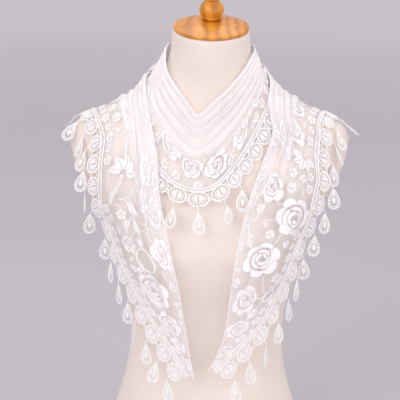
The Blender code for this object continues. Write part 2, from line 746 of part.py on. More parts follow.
def dress_form(cover):
    """The smooth, whole torso with its flat base and slanted neck top."""
    heights = [0.0, 0.004, 0.028]
    heights += list(np.linspace(0.062, 0.435, 9))
    heights += [0.462, 0.484, 0.505, 0.520, 0.533, 0.545, 0.556]
    heights += [0.567, 0.580, 0.597, 0.618, 0.642, FORM_RINGS[-1].height]
    count = 32
    vertices, faces = loft(FORM_RINGS, heights, count, True)
    inset = 0.004
    for k in range(count):
        x, y, z = vertices[k]
        scale = 1 - inset / math.hypot(x, y)
        vertices[k] = (x * scale, y * scale, z)
    faces.append(tuple(reversed(range(count))))
    faces.append(tuple(range(len(vertices) - count, len(vertices))))
    return add_object("dress_form", vertices, faces, cover)


def turned(name, profile, count, finish, tilt, seat):
    """A turned piece: profile holds (radius, height) from base to top."""
    vertices, faces = [], []
    for radius, height in profile:
        for k in range(count):
            angle = 2 * math.pi * k / count
            vertices.append((radius * math.cos(angle), radius * math.sin(angle), height))
    for row in range(len(profile) - 1):
        for k in range(count):
            here, beside = row * count + k, row * count + (k + 1) % count
            faces.append((here, beside, beside + count, here + count))
    faces.append(tuple(reversed(range(count))))
    faces.append(tuple(range(len(vertices) - count, len(vertices))))
    item = add_object(name, vertices, faces, finish)
    item.location = seat
    item.rotation_euler = (math.radians(tilt), 0, 0)
    return item


def neck_cap_profile():
    """The cap's rounded rim and its low dome."""
    edge = NECK_CAP_RIM / 2
    rim = [(NECK_CAP_RADIUS - edge * 0.7, 0.0)]
    for step in range(1, 4):
        angle = math.pi * step / 4 - math.pi / 2
        rim.append((NECK_CAP_RADIUS - edge + edge * math.cos(angle), edge + edge * math.sin(angle)))
    dome = []
    for step in range(5):
        share = step / 4
        radius = (NECK_CAP_RADIUS - 0.004) * (1 - share) + 0.010 * share
        dome.append((radius, NECK_CAP_RIM + NECK_CAP_RISE * math.sin(share * math.pi / 2)))
    return rim + dome


def finial_profile():
    """A turned bun with a collar and a small rounded top."""
    base = [(0.012, 0.0), (0.0155, 0.002)]
    bun = []
    for step in range(6):
        angle = math.radians(-38 + step * 20)
        bun.append((0.0045 + 0.014 * math.cos(angle), 0.014 + 0.013 * math.sin(angle)))
    collar = [(0.0105, 0.0275), (0.0120, 0.0290), (0.0130, 0.0320)]
    button = [(0.0125, 0.0370), (0.0095, 0.0415), (0.0040, FINIAL_HEIGHT)]
    return base + bun + collar + button


def neck_top():
    """Centre of the neck's slanted top face."""
    return np.mean(section(FORM_RINGS, FORM_RINGS[-1].height, 36, False), axis=0)


def main():
    """Builds the form, the cloth from the skin outwards, and the edgings."""
    for item in list(bpy.data.objects):
        bpy.data.objects.remove(item)
    cover = material("form_cover", (0.80, 0.70, 0.60), 0.75)
    wood = material("varnished_wood", (0.62, 0.33, 0.10), 0.30)
    lace = material("lace_net", (0.93, 0.90, 0.90), 0.60)
    trim = material("guipure_lace", (0.95, 0.93, 0.93), 0.65)

    dress_form(cover)
    tilt = math.radians(NECK_TILT)
    up = np.array([0.0, -math.sin(tilt), math.cos(tilt)])
    gap = 0.0003
    seat = neck_top() + up * gap
    turned("neck_cap", neck_cap_profile(), 30, wood, NECK_TILT, seat)
    cap_height = NECK_CAP_RIM + NECK_CAP_RISE
    turned("finial", finial_profile(), 18, wood, NECK_TILT, seat + up * (cap_height + gap))

    layers = Layers()

    def lay(name, strip, first, last):
        """Makes the wall of a strip between two of its rows."""
        points = strip.points[first : last + 1].copy()
        if last < len(strip.places) - 1:
            back = points[-2] - points[-1]
            points[-1] += SEAM_GAP * back / np.linalg.norm(back, axis=1, keepdims=True)
        if first == 0 and strip is not bib:
            ahead = points[1] - points[0]
            points[0] += SEAM_GAP * ahead / np.linalg.norm(ahead, axis=1, keepdims=True)
        mesh = wall_mesh(points, strip.normals[first : last + 1], CLOTH_THICKNESS)
        add_object(name, *mesh, lace)
        layers.add(*mesh)

    def trim_hem(name, strip, first_twist, bare=()):
        """Makes the edging of a strip's hem."""
        edging = Edging(layers, strip, bare, first_twist)
        add_object(name, edging.vertices, edging.faces, trim, smooth=False)

    bib = Strip(layers, BIB, BIB_SPANS, BIB_COLUMNS, BIB_FOLDS)
    lay("front_bib", bib, 0, len(bib.places) - 1)
    trim_hem("bib_edging", bib, -1, BIB_BARE_SCALLOPS)

    lead = (bib.columns, bib.points[-1], bib.normals[-1])
    left = Strip(layers, LEFT_STRIP, LEFT_SPANS, LEFT_COLUMNS, LEFT_FOLDS, lead)
    ridge = int(np.argmin(np.abs(left.places - LEFT_RIDGE_STATION)))
    lay("back_wrap_under", left, 0, ridge)
    lay("left_tail", left, ridge, len(left.places) - 1)
    trim_hem("left_edging", left, 0)

    lead = (bib.columns, bib.points[0], bib.normals[0])
    right = Strip(layers, RIGHT_STRIP, RIGHT_SPANS, RIGHT_COLUMNS, RIGHT_FOLDS, lead)
    ridge = int(np.argmin(np.abs(right.places - RIGHT_RIDGE_STATION)))
    lay("back_wrap_over", right, 0, ridge)
    lay("right_tail", right, ridge, len(right.places) - 1)
    trim_hem("right_edging", right, 4)


main()
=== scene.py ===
"""The looks of a lace shawl worn on a limbless dress form.

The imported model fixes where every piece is. The shawl's walls are read from it
as smooth grids, and the sheer net, its woven flowers, the rolled hem, the
corded edging and the hanging drops are all laid on those grids. The torso, the
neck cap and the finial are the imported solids, rounded.

Units are metres, +Z is up and the form faces -Y.
"""

from __future__ import annotations

import logging
import math
import random
from collections.abc import Sequence
from dataclasses import dataclass, field
from enum import Enum
from typing import NamedTuple

import bmesh
import bpy
import numpy as np
from bpy.types import Material, Mesh, Node, NodeSocket, NodeTree, Object
from mathutils import Matrix, Vector
from mathutils.bvhtree import BVHTree


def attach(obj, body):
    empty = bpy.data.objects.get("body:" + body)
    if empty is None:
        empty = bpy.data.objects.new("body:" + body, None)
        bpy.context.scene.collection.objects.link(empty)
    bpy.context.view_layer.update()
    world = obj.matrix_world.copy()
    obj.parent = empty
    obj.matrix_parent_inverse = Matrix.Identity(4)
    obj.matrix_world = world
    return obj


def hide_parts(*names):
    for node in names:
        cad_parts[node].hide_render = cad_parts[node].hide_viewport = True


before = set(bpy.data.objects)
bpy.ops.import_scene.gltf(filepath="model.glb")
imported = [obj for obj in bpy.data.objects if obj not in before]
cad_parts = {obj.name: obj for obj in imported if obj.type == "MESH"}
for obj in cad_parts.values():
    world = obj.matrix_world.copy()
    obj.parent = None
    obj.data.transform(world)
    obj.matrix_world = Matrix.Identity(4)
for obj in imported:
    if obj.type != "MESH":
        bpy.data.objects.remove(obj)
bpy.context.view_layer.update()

LOG = logging.getLogger("lace_shawl")
ROOT = "root"

# Two arrays that belong together, such as points and their normals
Pair = tuple[np.ndarray, np.ndarray]

# Sizes that the solids were made with, in metres, and the neck's tilt in degrees
SEAM_GAP = 0.0004
EDGING_THICKNESS = 0.0012
EDGING_PITCH = 0.033
BIB_PITCH = 0.025
EDGING_DEPTH = 0.027
EDGING_DROOP = 0.25
DROP_WIDTH = 0.020
DROP_LENGTH = 0.030
DROP_THICKNESS = 0.0015
DROP_END_SHARE = 0.24
DROP_END_TOLERANCE = 0.00004
DROP_RINGS = 5
NECK_TILT = 14.0

# Edges of made pieces that stay sharp, in degrees
SHARP_ANGLE = 55.0
# A Wave texture's scale times the spacing of its bands in metres
WAVE_SCALE = 0.314


class Ring(NamedTuple):
    """A horizontal section of the surface that the cloth hangs on."""

    height: float
    half_width: float
    front: float
    back: float
    middle: float
    lean: float
    power: float


class Station(NamedTuple):
    """The inner (plain) and outer (trimmed) edge of the cloth at one place, in mm."""

    inner: tuple[float, float, float]
    outer: tuple[float, float, float]


class Span(NamedTuple):
    """A stretch of stations and the spacing of its rows along the hem."""

    begin: float
    finish: float
    spacing: float


HANG_RINGS = (
    Ring(0.000, 0.154, 0.120, 0.118, 0.004, 0, 2.2),
    Ring(0.055, 0.150, 0.124, 0.122, 0.006, 0, 2.2),
    Ring(0.117, 0.132, 0.129, 0.110, 0.004, 0, 2.4),
    Ring(0.160, 0.126, 0.132, 0.104, 0.000, 0, 2.4),
    Ring(0.200, 0.124, 0.135, 0.102, -0.002, 0, 2.4),
    Ring(0.250, 0.127, 0.139, 0.102, -0.002, 0, 2.4),
    Ring(0.300, 0.133, 0.143, 0.103, 0.000, 0, 2.4),
    Ring(0.345, 0.143, 0.144, 0.105, 0.002, 0, 2.4),
    Ring(0.390, 0.157, 0.132, 0.108, 0.004, 0, 2.4),
    Ring(0.4465, 0.193, 0.108, 0.112, 0.008, 0, 2.3),
    Ring(0.4765, 0.204, 0.090, 0.110, 0.010, 0, 2.3),
    Ring(0.505, 0.209, 0.079, 0.104, 0.012, 0, 2.2),
    Ring(0.525, 0.202, 0.070, 0.097, 0.012, 0, 2.1),
    Ring(0.543, 0.172, 0.063, 0.088, 0.010, 0, 2.0),
    Ring(0.558, 0.138, 0.060, 0.082, 0.006, 0, 2.0),
    Ring(0.573, 0.110, 0.057, 0.076, 0.002, 2, 2.0),
    Ring(0.590, 0.090, 0.057, 0.070, -0.002, 5, 2.0),
    Ring(0.612, 0.074, 0.058, 0.064, -0.004, 9, 2.0),
    Ring(0.640, 0.062, 0.061, 0.055, -0.007, 13, 2.0),
    Ring(0.669, 0.057, 0.065, 0.046, -0.010, NECK_TILT, 2.0),
)

BIB = (
    Station((-60, 6, 643), (-84, 7, 606)),
    Station((-61, -12, 632), (-97, -22, 570)),
    Station((-62, -28, 613), (-102, -44, 545)),
    Station((-55, -43, 597), (-99, -60, 520)),
    Station((-43, -51, 580), (-85, -75, 497)),
    Station((-30, -57, 563), (-57, -94, 464)),
    Station((-19, -60, 549), (-28, -105, 451)),
    Station((-7, -60, 556), (2, -105, 453)),
    Station((14, -56, 576), (28, -90, 476)),
    Station((33, -53, 596), (52, -75, 507)),
    Station((46, -45, 612), (72, -55, 545)),
    Station((54, -34, 626), (82, -36, 570)),
    Station((57, -14, 636), (79, -16, 596)),
    Station((58, 6, 642), (73, 7, 612)),
)
LEFT_STRIP = (
    Station((58, 6, 642), (73, 7, 612)),
    Station((38, 44, 632), (78, 62, 560)),
    Station((0, 56, 624), (32, 100, 508)),
    Station((-38, 50, 616), (-28, 112, 458)),
    Station((-66, 44, 603), (-92, 108, 440)),
    Station((-83, 26, 602), (-146, 78, 480)),
    Station((-90, 4, 601), (-168, 6, 545)),
    Station((-91, -26, 582), (-160, -28, 537)),
    Station((-88, -46, 557), (-150, -50, 515)),
    Station((-82, -62, 528), (-151, -60, 490)),
    Station((-74, -82, 488), (-152, -68, 462)),
    Station((-69, -106, 440), (-152, -71, 428)),
    Station((-60, -124, 396), (-147, -68, 400)),
    Station((-50, -137, 352), (-133, -76, 369)),
    Station((-42, -141, 318), (-117, -93, 334)),
    Station((-36, -139, 284), (-101, -107, 307)),
    Station((-31, -137, 254), (-80, -120, 272)),
    Station((-26, -135, 226), (-59, -128, 241)),
    Station((-22, -134, 202), (-40, -131, 211)),
    Station((-18, -133, 180), (-25, -132, 183)),
)
RIGHT_STRIP = (
    Station((-60, 6, 643), (-84, 7, 606)),
    Station((-55, 26, 641), (-90, 28, 591)),
    Station((-42, 44, 636), (-86, 60, 559)),
    Station((0, 58, 630), (-34, 100, 508)),
    Station((36, 50, 624), (26, 114, 460)),
    Station((62, 36, 616), (94, 108, 444)),
    Station((73, 20, 610), (146, 80, 482)),
    Station((78, -1, 604), (165, 6, 546)),
    Station((80, -26, 580), (154, -30, 538)),
    Station((83, -48, 556), (152, -50, 515)),
    Station((89, -63, 525), (150, -60, 492)),
    Station((77, -82, 488), (151, -68, 463)),
    Station((62, -104, 450), (148, -75, 434)),
    Station((51, -118, 418), (138, -79, 403)),
    Station((42, -134, 376), (127, -86, 373)),
    Station((36, -142, 335), (112, -101, 340)),
    Station((31, -141, 292), (96, -111, 303)),
    Station((27, -138, 256), (73, -124, 261)),
    Station((21, -136, 231), (48, -131, 234)),
    Station((13, -135, 209), (27, -134, 212)),
    Station((3, -134, 191), (10, -134, 193)),
)

BIB_COLUMNS = (
    0, 0.04, 0.07, 0.10, 0.13, 0.16, 0.19, 0.22, 0.25, 0.285,
    0.355, 0.425, 0.49, 0.56, 0.63, 0.71, 0.80, 0.90, 1,
)
LEFT_COLUMNS = (0, 0.05, 0.105, 0.16, 0.215, 0.28, 0.335, 0.39, 0.46, 0.54, 0.62, 0.71, 0.85, 1)
RIGHT_COLUMNS = (0, 0.05, 0.11, 0.175, 0.225, 0.27, 0.34, 0.425, 0.50, 0.57, 0.65, 0.72, 0.86, 1)
LEFT_RIDGE_STATION = 6
RIGHT_RIDGE_STATION = 7
TRIMMED = 1
BIB_SPANS = (Span(0, 4.2, 0.028), Span(4.2, 11.2, BIB_PITCH / 2), Span(11.2, 13, 0.026))
LEFT_SPANS = (Span(0, 2.8, 0.04), Span(2.8, 19, EDGING_PITCH / 2))
RIGHT_SPANS = (Span(0, 1.8, 0.024), Span(1.8, 20, EDGING_PITCH / 2))


class Corner(NamedTuple):
    """A corner of one repeat of the edging, as shares of pitch and depth."""

    along: float
    depth: float


SCALLOP = (
    Corner(0.27, 0.20), Corner(0.73, 0.20), Corner(0.07, 0.44), Corner(0.93, 0.44),
    Corner(0.07, 0.62), Corner(0.93, 0.62), Corner(0.21, 0.86), Corner(0.79, 0.86),
    Corner(0.465, 1.00), Corner(0.535, 1.00), Corner(0.00, 0.20),
)


class Crease(NamedTuple):
    """A soft ridge or trough of the cloth, by station and share of width."""

    begin: float
    finish: float
    across_begin: float
    across_finish: float
    half_width: float
    height: float


class Gather(NamedTuple):
    """How many layers the cloth is gathered to at a station, and how far in."""

    station: float
    layers: float
    reach: float


BIB_CREASES = (
    Crease(1, 9, 0.10, 0.115, 0.018, 0.0008),
    Crease(3, 12, 0.225, 0.22, 0.020, -0.0009),
    Crease(2, 10, 0.36, 0.35, 0.020, 0.0009),
    Crease(5, 13, 0.50, 0.49, 0.024, 0.0010),
    Crease(0, 7, 0.64, 0.62, 0.026, 0.0009),
)
LEFT_CREASES = (
    Crease(2, 9, 0.10, 0.11, 0.018, -0.0010),
    Crease(5, 13, 0.21, 0.23, 0.018, 0.0010),
    Crease(4, 11, 0.33, 0.34, 0.020, -0.0010),
    Crease(6, 14, 0.47, 0.44, 0.024, 0.0012),
    Crease(7, 17, 0.60, 0.62, 0.030, 0.0008),
    Crease(9, 19, 0.12, 0.30, 0.030, 0.0009),
)
RIGHT_CREASES = (
    Crease(2, 10, 0.11, 0.11, 0.018, -0.0009),
    Crease(5, 14, 0.22, 0.21, 0.018, 0.0009),
    Crease(4, 12, 0.35, 0.34, 0.020, -0.0010),
    Crease(7, 15, 0.49, 0.50, 0.024, 0.0011),
    Crease(8, 18, 0.63, 0.60, 0.030, 0.0009),
    Crease(10, 20, 0.16, 0.33, 0.032, 0.0009),
)
BIB_GATHERS = (
    Gather(0, 4.0, 0.95), Gather(3, 3.6, 0.66), Gather(7, 3.2, 0.60),
    Gather(10, 3.6, 0.66), Gather(13, 4.0, 0.95),
)
LEFT_GATHERS = (
    Gather(0, 4.0, 0.95), Gather(3, 2.2, 0.50), Gather(6, 3.6, 0.62), Gather(9, 3.4, 0.50),
    Gather(11, 3.0, 0.38), Gather(12, 2.6, 0.20), Gather(15, 1.8, 0.14), Gather(19, 1.2, 0.10),
)
RIGHT_GATHERS = (
    Gather(0, 4.0, 0.95), Gather(4, 2.2, 0.50), Gather(7, 3.4, 0.60), Gather(10, 3.0, 0.46),
    Gather(11, 2.8, 0.38), Gather(12.2, 2.2, 0.17), Gather(16, 1.6, 0.10), Gather(20, 1.2, 0.08),
)
LEFT_PARTINGS = (Crease(8.3, 9.5, 0.68, 0.70, 0.06, 1.0),)
RIGHT_PARTINGS = (Crease(9.6, 11.9, 0.13, 0.31, 0.07, 1.0),)


def read_curve(knots: Sequence[float], values: np.ndarray, at: np.ndarray) -> np.ndarray:
    """Reads a smooth curve through values at several places.

    Args:
        knots: where the values stand, rising.
        values: the values, one row for each knot.
        at: the places to read.

    Returns:
        One row for each place.
    """
    knots = np.asarray(knots, float)
    values = np.asarray(values, float)
    at = np.atleast_1d(np.asarray(at, float))
    low = np.maximum(np.arange(len(knots)) - 1, 0)
    high = np.minimum(np.arange(len(knots)) + 1, len(knots) - 1)
    shape = (-1,) + (1,) * (values.ndim - 1)
    slopes = (values[high] - values[low]) / (knots[high] - knots[low]).reshape(shape)
    index = np.clip(np.searchsorted(knots, at) - 1, 0, len(knots) - 2)
    span = knots[index + 1] - knots[index]
    t = ((at - knots[index]) / span).reshape(shape)
    span = span.reshape(shape)
    return (
        (2 * t**3 - 3 * t**2 + 1) * values[index]
        + (t**3 - 2 * t**2 + t) * slopes[index] * span
        + (3 * t**2 - 2 * t**3) * values[index + 1]
        + (t**3 - t**2) * slopes[index + 1] * span
    )


def smoothstep(low: float, high: float, value: np.ndarray) -> np.ndarray:
    """Rises smoothly from 0 at low to 1 at high."""
    t = np.clip((np.asarray(value, float) - low) / (high - low), 0.0, 1.0)
    return t * t * (3 - 2 * t)


def unit_vectors(vectors: np.ndarray) -> np.ndarray:
    """The same vectors, each one long."""
    return vectors / np.maximum(np.linalg.norm(vectors, axis=-1, keepdims=True), 1e-9)


def circle_angles(count: int) -> np.ndarray:
    """Angles at even steps round a circle."""
    return 2 * math.pi * np.arange(count) / count


def running_lengths(points: np.ndarray, axis: int = 0) -> np.ndarray:
    """The length from the first row or column to each point."""
    steps = np.linalg.norm(np.diff(points, axis=axis), axis=-1)
    return np.insert(np.cumsum(steps, axis=axis), 0, 0.0, axis=axis)


def grid_normals(points: np.ndarray, outward: np.ndarray) -> np.ndarray:
    """Unit normals of a grid (along, across, xyz), on the side of the outward vectors."""
    normals = unit_vectors(np.cross(np.gradient(points, axis=1), np.gradient(points, axis=0)))
    return normals * np.sign(np.sum(normals * outward, axis=2, keepdims=True))


def grid_faces(rows: int, columns: int, closed: bool = False) -> list[tuple[int, ...]]:
    """The quads of a grid of points that is numbered row by row.

    Args:
        rows: how many rows of points.
        columns: how many points in each row.
        closed: whether each row is a ring.

    Returns:
        The quads, row by row.
    """
    faces = []
    for row in range(rows - 1):
        for k in range(columns if closed else columns - 1):
            here, beside = row * columns + k, row * columns + (k + 1) % columns
            faces.append((here, beside, beside + columns, here + columns))
    return faces


def node_points(names: Sequence[str]) -> np.ndarray:
    """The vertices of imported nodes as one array."""
    meshes = [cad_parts[name].data for name in names]
    return np.array([vertex.co for mesh in meshes for vertex in mesh.vertices])


def add_object(name: str, data: bpy.types.ID) -> Object:
    """Puts data into the scene as an object at the origin.

    Args:
        name: the object's name.
        data: its mesh, light or camera.

    Returns:
        The new object.
    """
    item = bpy.data.objects.new(name, data)
    bpy.context.scene.collection.objects.link(item)
    return item


def hide_from(piece: Object, *rays: str) -> None:
    """Keeps a piece out of some kinds of rays."""
    for ray in rays:
        setattr(piece, f"visible_{ray}", False)


@dataclass
class HangSurface:
    """The smooth surface that the cloth hangs on."""

    facets: int = 180
    levels: int = 150

    def __post_init__(self) -> None:
        """Lofts the surface through its rings."""
        heights = np.linspace(0.0, HANG_RINGS[-1].height, self.levels)
        vertices = np.concatenate([self.section(height) for height in heights])
        faces = grid_faces(self.levels, self.facets, closed=True)
        self.tree = BVHTree.FromPolygons(vertices.tolist(), faces)

    def section(self, height: float) -> np.ndarray:
        """Draws one section.

        Args:
            height: where the surface is cut.

        Returns:
            Points round the section, counterclockwise.
        """
        knots = [ring.height for ring in HANG_RINGS]
        values = np.array([ring[1:] for ring in HANG_RINGS])
        half_width, front, back, middle, lean, power = read_curve(knots, values, height)[0]
        angle = circle_angles(self.facets)
        across, deep = np.cos(angle), np.sin(angle)
        x = half_width * np.sign(across) * np.abs(across) ** (2 / power)
        reach = np.where(deep > 0, back - middle, front + middle)
        y = middle + reach * np.sign(deep) * np.abs(deep) ** (2 / power)
        return np.stack([x, y, height + math.tan(math.radians(lean)) * y], axis=1)

    def foot(self, point: np.ndarray) -> Pair:
        """The nearest place on the surface, and its outward normal."""
        place, normal, _, _ = self.tree.find_nearest(Vector(point))
        return np.array(place), np.array(normal)


@dataclass
class Strip:
    """One stretch of the shawl, read from its solid walls as a smooth grid.

    Rows run along the cloth and columns across it, from the plain inner edge
    to the trimmed outer edge. A wall point is looked for within reach and
    tolerance of its foot on the hang surface. Rounds and ease steer how a flat
    drawing is fitted to the cloth.
    """

    name: str
    surface: HangSurface
    nodes: tuple[str, ...]
    stations: tuple[Station, ...]
    spans: tuple[Span, ...]
    columns: tuple[float, ...]
    creases: tuple[Crease, ...]
    gathers: tuple[Gather, ...]
    partings: tuple[Crease, ...] = ()
    lead: tuple["Strip", int] | None = None
    row_steps: int = 6
    column_steps: int = 4
    reach: float = 0.09
    tolerance: float = 0.0009
    fade_in: float = 0.2
    fade_out: float = 0.7
    soft_edge: float = 0.10
    samples: int = 300
    rounds: int = 12
    ease: float = 0.8

    def __post_init__(self) -> None:
        """Reads the walls and refines them."""
        self.coarse_places, self.trimmed = self.place_rows()
        self.coarse, self.coarse_normals = self.read_walls()
        self.refine()

    def edges(self, places: np.ndarray) -> tuple[np.ndarray, ...]:
        """The inner and outer edge's own positions at several places."""
        knots = range(len(self.stations))
        return tuple(read_curve(knots, np.array(edge) / 1000, places) for edge in zip(*self.stations))

    def place_rows(self) -> tuple[np.ndarray, tuple[int, int]]:
        """Spaces the rows evenly along the hem.

        Returns:
            The rows' stations, and the first and last trimmed rows' numbers.
        """
        places, trimmed = [float(self.spans[0].begin)], (0, 0)
        for number, span in enumerate(self.spans):
            fine = np.linspace(span.begin, span.finish, self.samples)
            length = running_lengths(self.edges(fine)[1])
            count = max(1, round(length[-1] / span.spacing))
            if number == TRIMMED:
                count = 2 * max(1, round(length[-1] / span.spacing / 2))
                trimmed = (len(places) - 1, len(places) - 1 + count)
            marks = np.linspace(0, length[-1], count + 1)[1:]
            places += list(np.interp(marks, length, fine))
        return np.array(places), trimmed

    def read_walls(self) -> Pair:
        """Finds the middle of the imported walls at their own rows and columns.

        Returns:
            The walls' points and their outward normals.
        """
        inner, outer = self.edges(self.coarse_places)
        shares = np.array(self.columns)[None, :, None]
        chord = inner[:, None] + (outer - inner)[:, None] * shares
        feet, outward = np.zeros_like(chord), np.zeros_like(chord)
        for index in np.ndindex(chord.shape[:2]):
            feet[index], outward[index] = self.surface.foot(chord[index])
        normals = grid_normals(feet, outward)
        solid = node_points(self.nodes)
        lifts = np.full(feet.shape[:2], np.nan)
        for index in np.ndindex(feet.shape[:2]):
            offset = solid - feet[index]
            height = offset @ normals[index]
            aside = np.linalg.norm(offset - height[:, None] * normals[index], axis=1)
            near = (aside < self.tolerance) & (np.abs(height) < self.reach)
            if near.any():
                lifts[index] = (height[near].min() + height[near].max()) / 2
        missing = np.isnan(lifts)
        for row in range(len(lifts)):
            known = ~missing[row]
            if known.any():
                lifts[row] = np.interp(self.columns, np.array(self.columns)[known], lifts[row, known])
        LOG.info("%s: %d of %d wall points read", self.name, (~missing).sum(), missing.size)
        points = feet + normals * lifts[:, :, None]
        if self.lead is not None:
            strip, row = self.lead
            for grid, other in ((points, strip.coarse), (normals, strip.coarse_normals)):
                for axis in range(3):
                    grid[0, :, axis] = np.interp(self.columns, strip.columns, other[row, :, axis])
        return points, normals

    def refine(self) -> None:
        """Makes the fine grid, with its creases, lengths and layers."""
        knots = running_lengths(self.coarse.mean(axis=1))
        rows = np.arange((len(knots) - 1) * self.row_steps + 1) / self.row_steps
        at = np.interp(rows, np.arange(len(knots)), knots)
        self.places = np.interp(rows, np.arange(len(knots)), self.coarse_places)
        columns = np.arange((len(self.columns) - 1) * self.column_steps + 1) / self.column_steps
        self.shares = np.interp(columns, np.arange(len(self.columns)), self.columns)
        points, outward = (
            read_curve(self.columns, read_curve(knots, grid, at).swapaxes(0, 1), self.shares).swapaxes(0, 1)
            for grid in (self.coarse, self.coarse_normals)
        )
        normals = grid_normals(points, outward)
        height = sum(self.crease_height(crease) for crease in self.creases)
        self.points = points + normals * height[:, :, None]
        self.normals = grid_normals(self.points, normals)
        self.along = running_lengths(self.points, 0)
        self.across = running_lengths(self.points, 1)
        self.layers = self.layer_count()
        widths = np.linalg.norm(np.diff(self.points, axis=1), axis=2)
        gathered = np.cumsum(widths * (self.layers[:, 1:] + self.layers[:, :-1]) / 2, axis=1)
        self.cloth = np.insert(gathered, 0, 0.0, axis=1)

    def crease_height(self, crease: Crease) -> np.ndarray:
        """The height of one crease all over the grid.

        Args:
            crease: the ridge or trough.

        Returns:
            A height for each point of the grid.
        """
        share = (self.places - crease.begin) / (crease.finish - crease.begin)
        fade = smoothstep(0, self.fade_in, share) * (1 - smoothstep(self.fade_out, 1, share))
        centre = crease.across_begin + (crease.across_finish - crease.across_begin) * share
        spread = ((self.shares[None, :] - centre[:, None]) / crease.half_width) ** 2
        return crease.height * fade[:, None] * np.exp(-spread)

    def layer_count(self) -> np.ndarray:
        """How many layers of net lie in each place of the gathered cloth.

        Returns:
            A number for each point of the grid.
        """
        stations = [g.station for g in self.gathers]
        most = np.interp(self.places, stations, [g.layers for g in self.gathers])
        reach = np.interp(self.places, stations, [g.reach for g in self.gathers])
        soft = self.soft_edge
        edge = 1 - smoothstep(-soft, soft, self.shares[None, :] - reach[:, None])
        for parting in self.partings:
            edge = edge * (1 - self.crease_height(parting))
        return 1 + (most[:, None] - 1) * edge

    def row_at(self, place: float) -> float:
        """The fine row at a station."""
        return float(np.interp(place, self.places, np.arange(len(self.places))))

    def column_at(self, share: float) -> float:
        """The fine column at a share of the width."""
        return float(np.interp(share, self.shares, np.arange(len(self.shares))))

    def coarse_row(self, place: float) -> int:
        """The solid's own row that is nearest to a station."""
        return int(np.argmin(np.abs(self.coarse_places - place)))

    @staticmethod
    def blend_cells(values: np.ndarray, rows: np.ndarray, columns: np.ndarray) -> np.ndarray:
        """Reads a grid between its points.

        Args:
            values: the grid.
            rows: where to read, in rows.
            columns: where to read, in columns.

        Returns:
            A value for each place.
        """
        row = np.clip(rows.astype(int), 0, values.shape[0] - 2)
        column = np.clip(columns.astype(int), 0, values.shape[1] - 2)
        shape = (-1,) + (1,) * (values.ndim - 2)
        s, t = (rows - row).reshape(shape), (columns - column).reshape(shape)
        near = values[row, column] * (1 - t) + values[row, column + 1] * t
        far = values[row + 1, column] * (1 - t) + values[row + 1, column + 1] * t
        return near * (1 - s) + far * s

    def drape(
        self, flat: np.ndarray, place: float, share: float
    ) -> tuple[np.ndarray, np.ndarray, np.ndarray]:
        """Lays a flat drawing on the cloth, narrowed where the cloth is gathered.

        Args:
            flat: points (along, across) in metres from the drawing's centre.
            place: the station of the centre.
            share: the centre's share of the width.

        Returns:
            The points, their normals, and whether each lies on the cloth.
        """
        row, column = self.row_at(place), self.column_at(share)
        along = self.along - self.along[int(round(row))][None, :]
        along = along - self.blend_cells(along, np.array([row]), np.array([column]))[0]
        every = np.arange(len(self.places), dtype=float)
        centre = self.blend_cells(self.cloth, every, np.full(len(every), column))
        across = self.cloth - centre[:, None]
        rows, columns = np.full(len(flat), row), np.full(len(flat), column)
        slope_along = np.maximum(np.gradient(along, axis=0), 1e-5)
        slope_across = np.maximum(np.gradient(across, axis=1), 1e-5)
        for _ in range(self.rounds):
            miss = flat[:, 0] - self.blend_cells(along, rows, columns)
            rows = rows + self.ease * miss / self.blend_cells(slope_along, rows, columns)
            rows = np.clip(rows, -1.0, len(self.places))
            miss = flat[:, 1] - self.blend_cells(across, rows, columns)
            columns = columns + self.ease * miss / self.blend_cells(slope_across, rows, columns)
            columns = np.clip(columns, -1.0, len(self.shares))
        inside = (rows >= 0) & (rows <= len(self.places) - 1)
        inside &= (columns >= 0) & (columns <= len(self.shares) - 1)
        rows = np.clip(rows, 0, len(self.places) - 1)
        columns = np.clip(columns, 0, len(self.shares) - 1)
        normals = unit_vectors(self.blend_cells(self.normals, rows, columns))
        return self.blend_cells(self.points, rows, columns), normals, inside


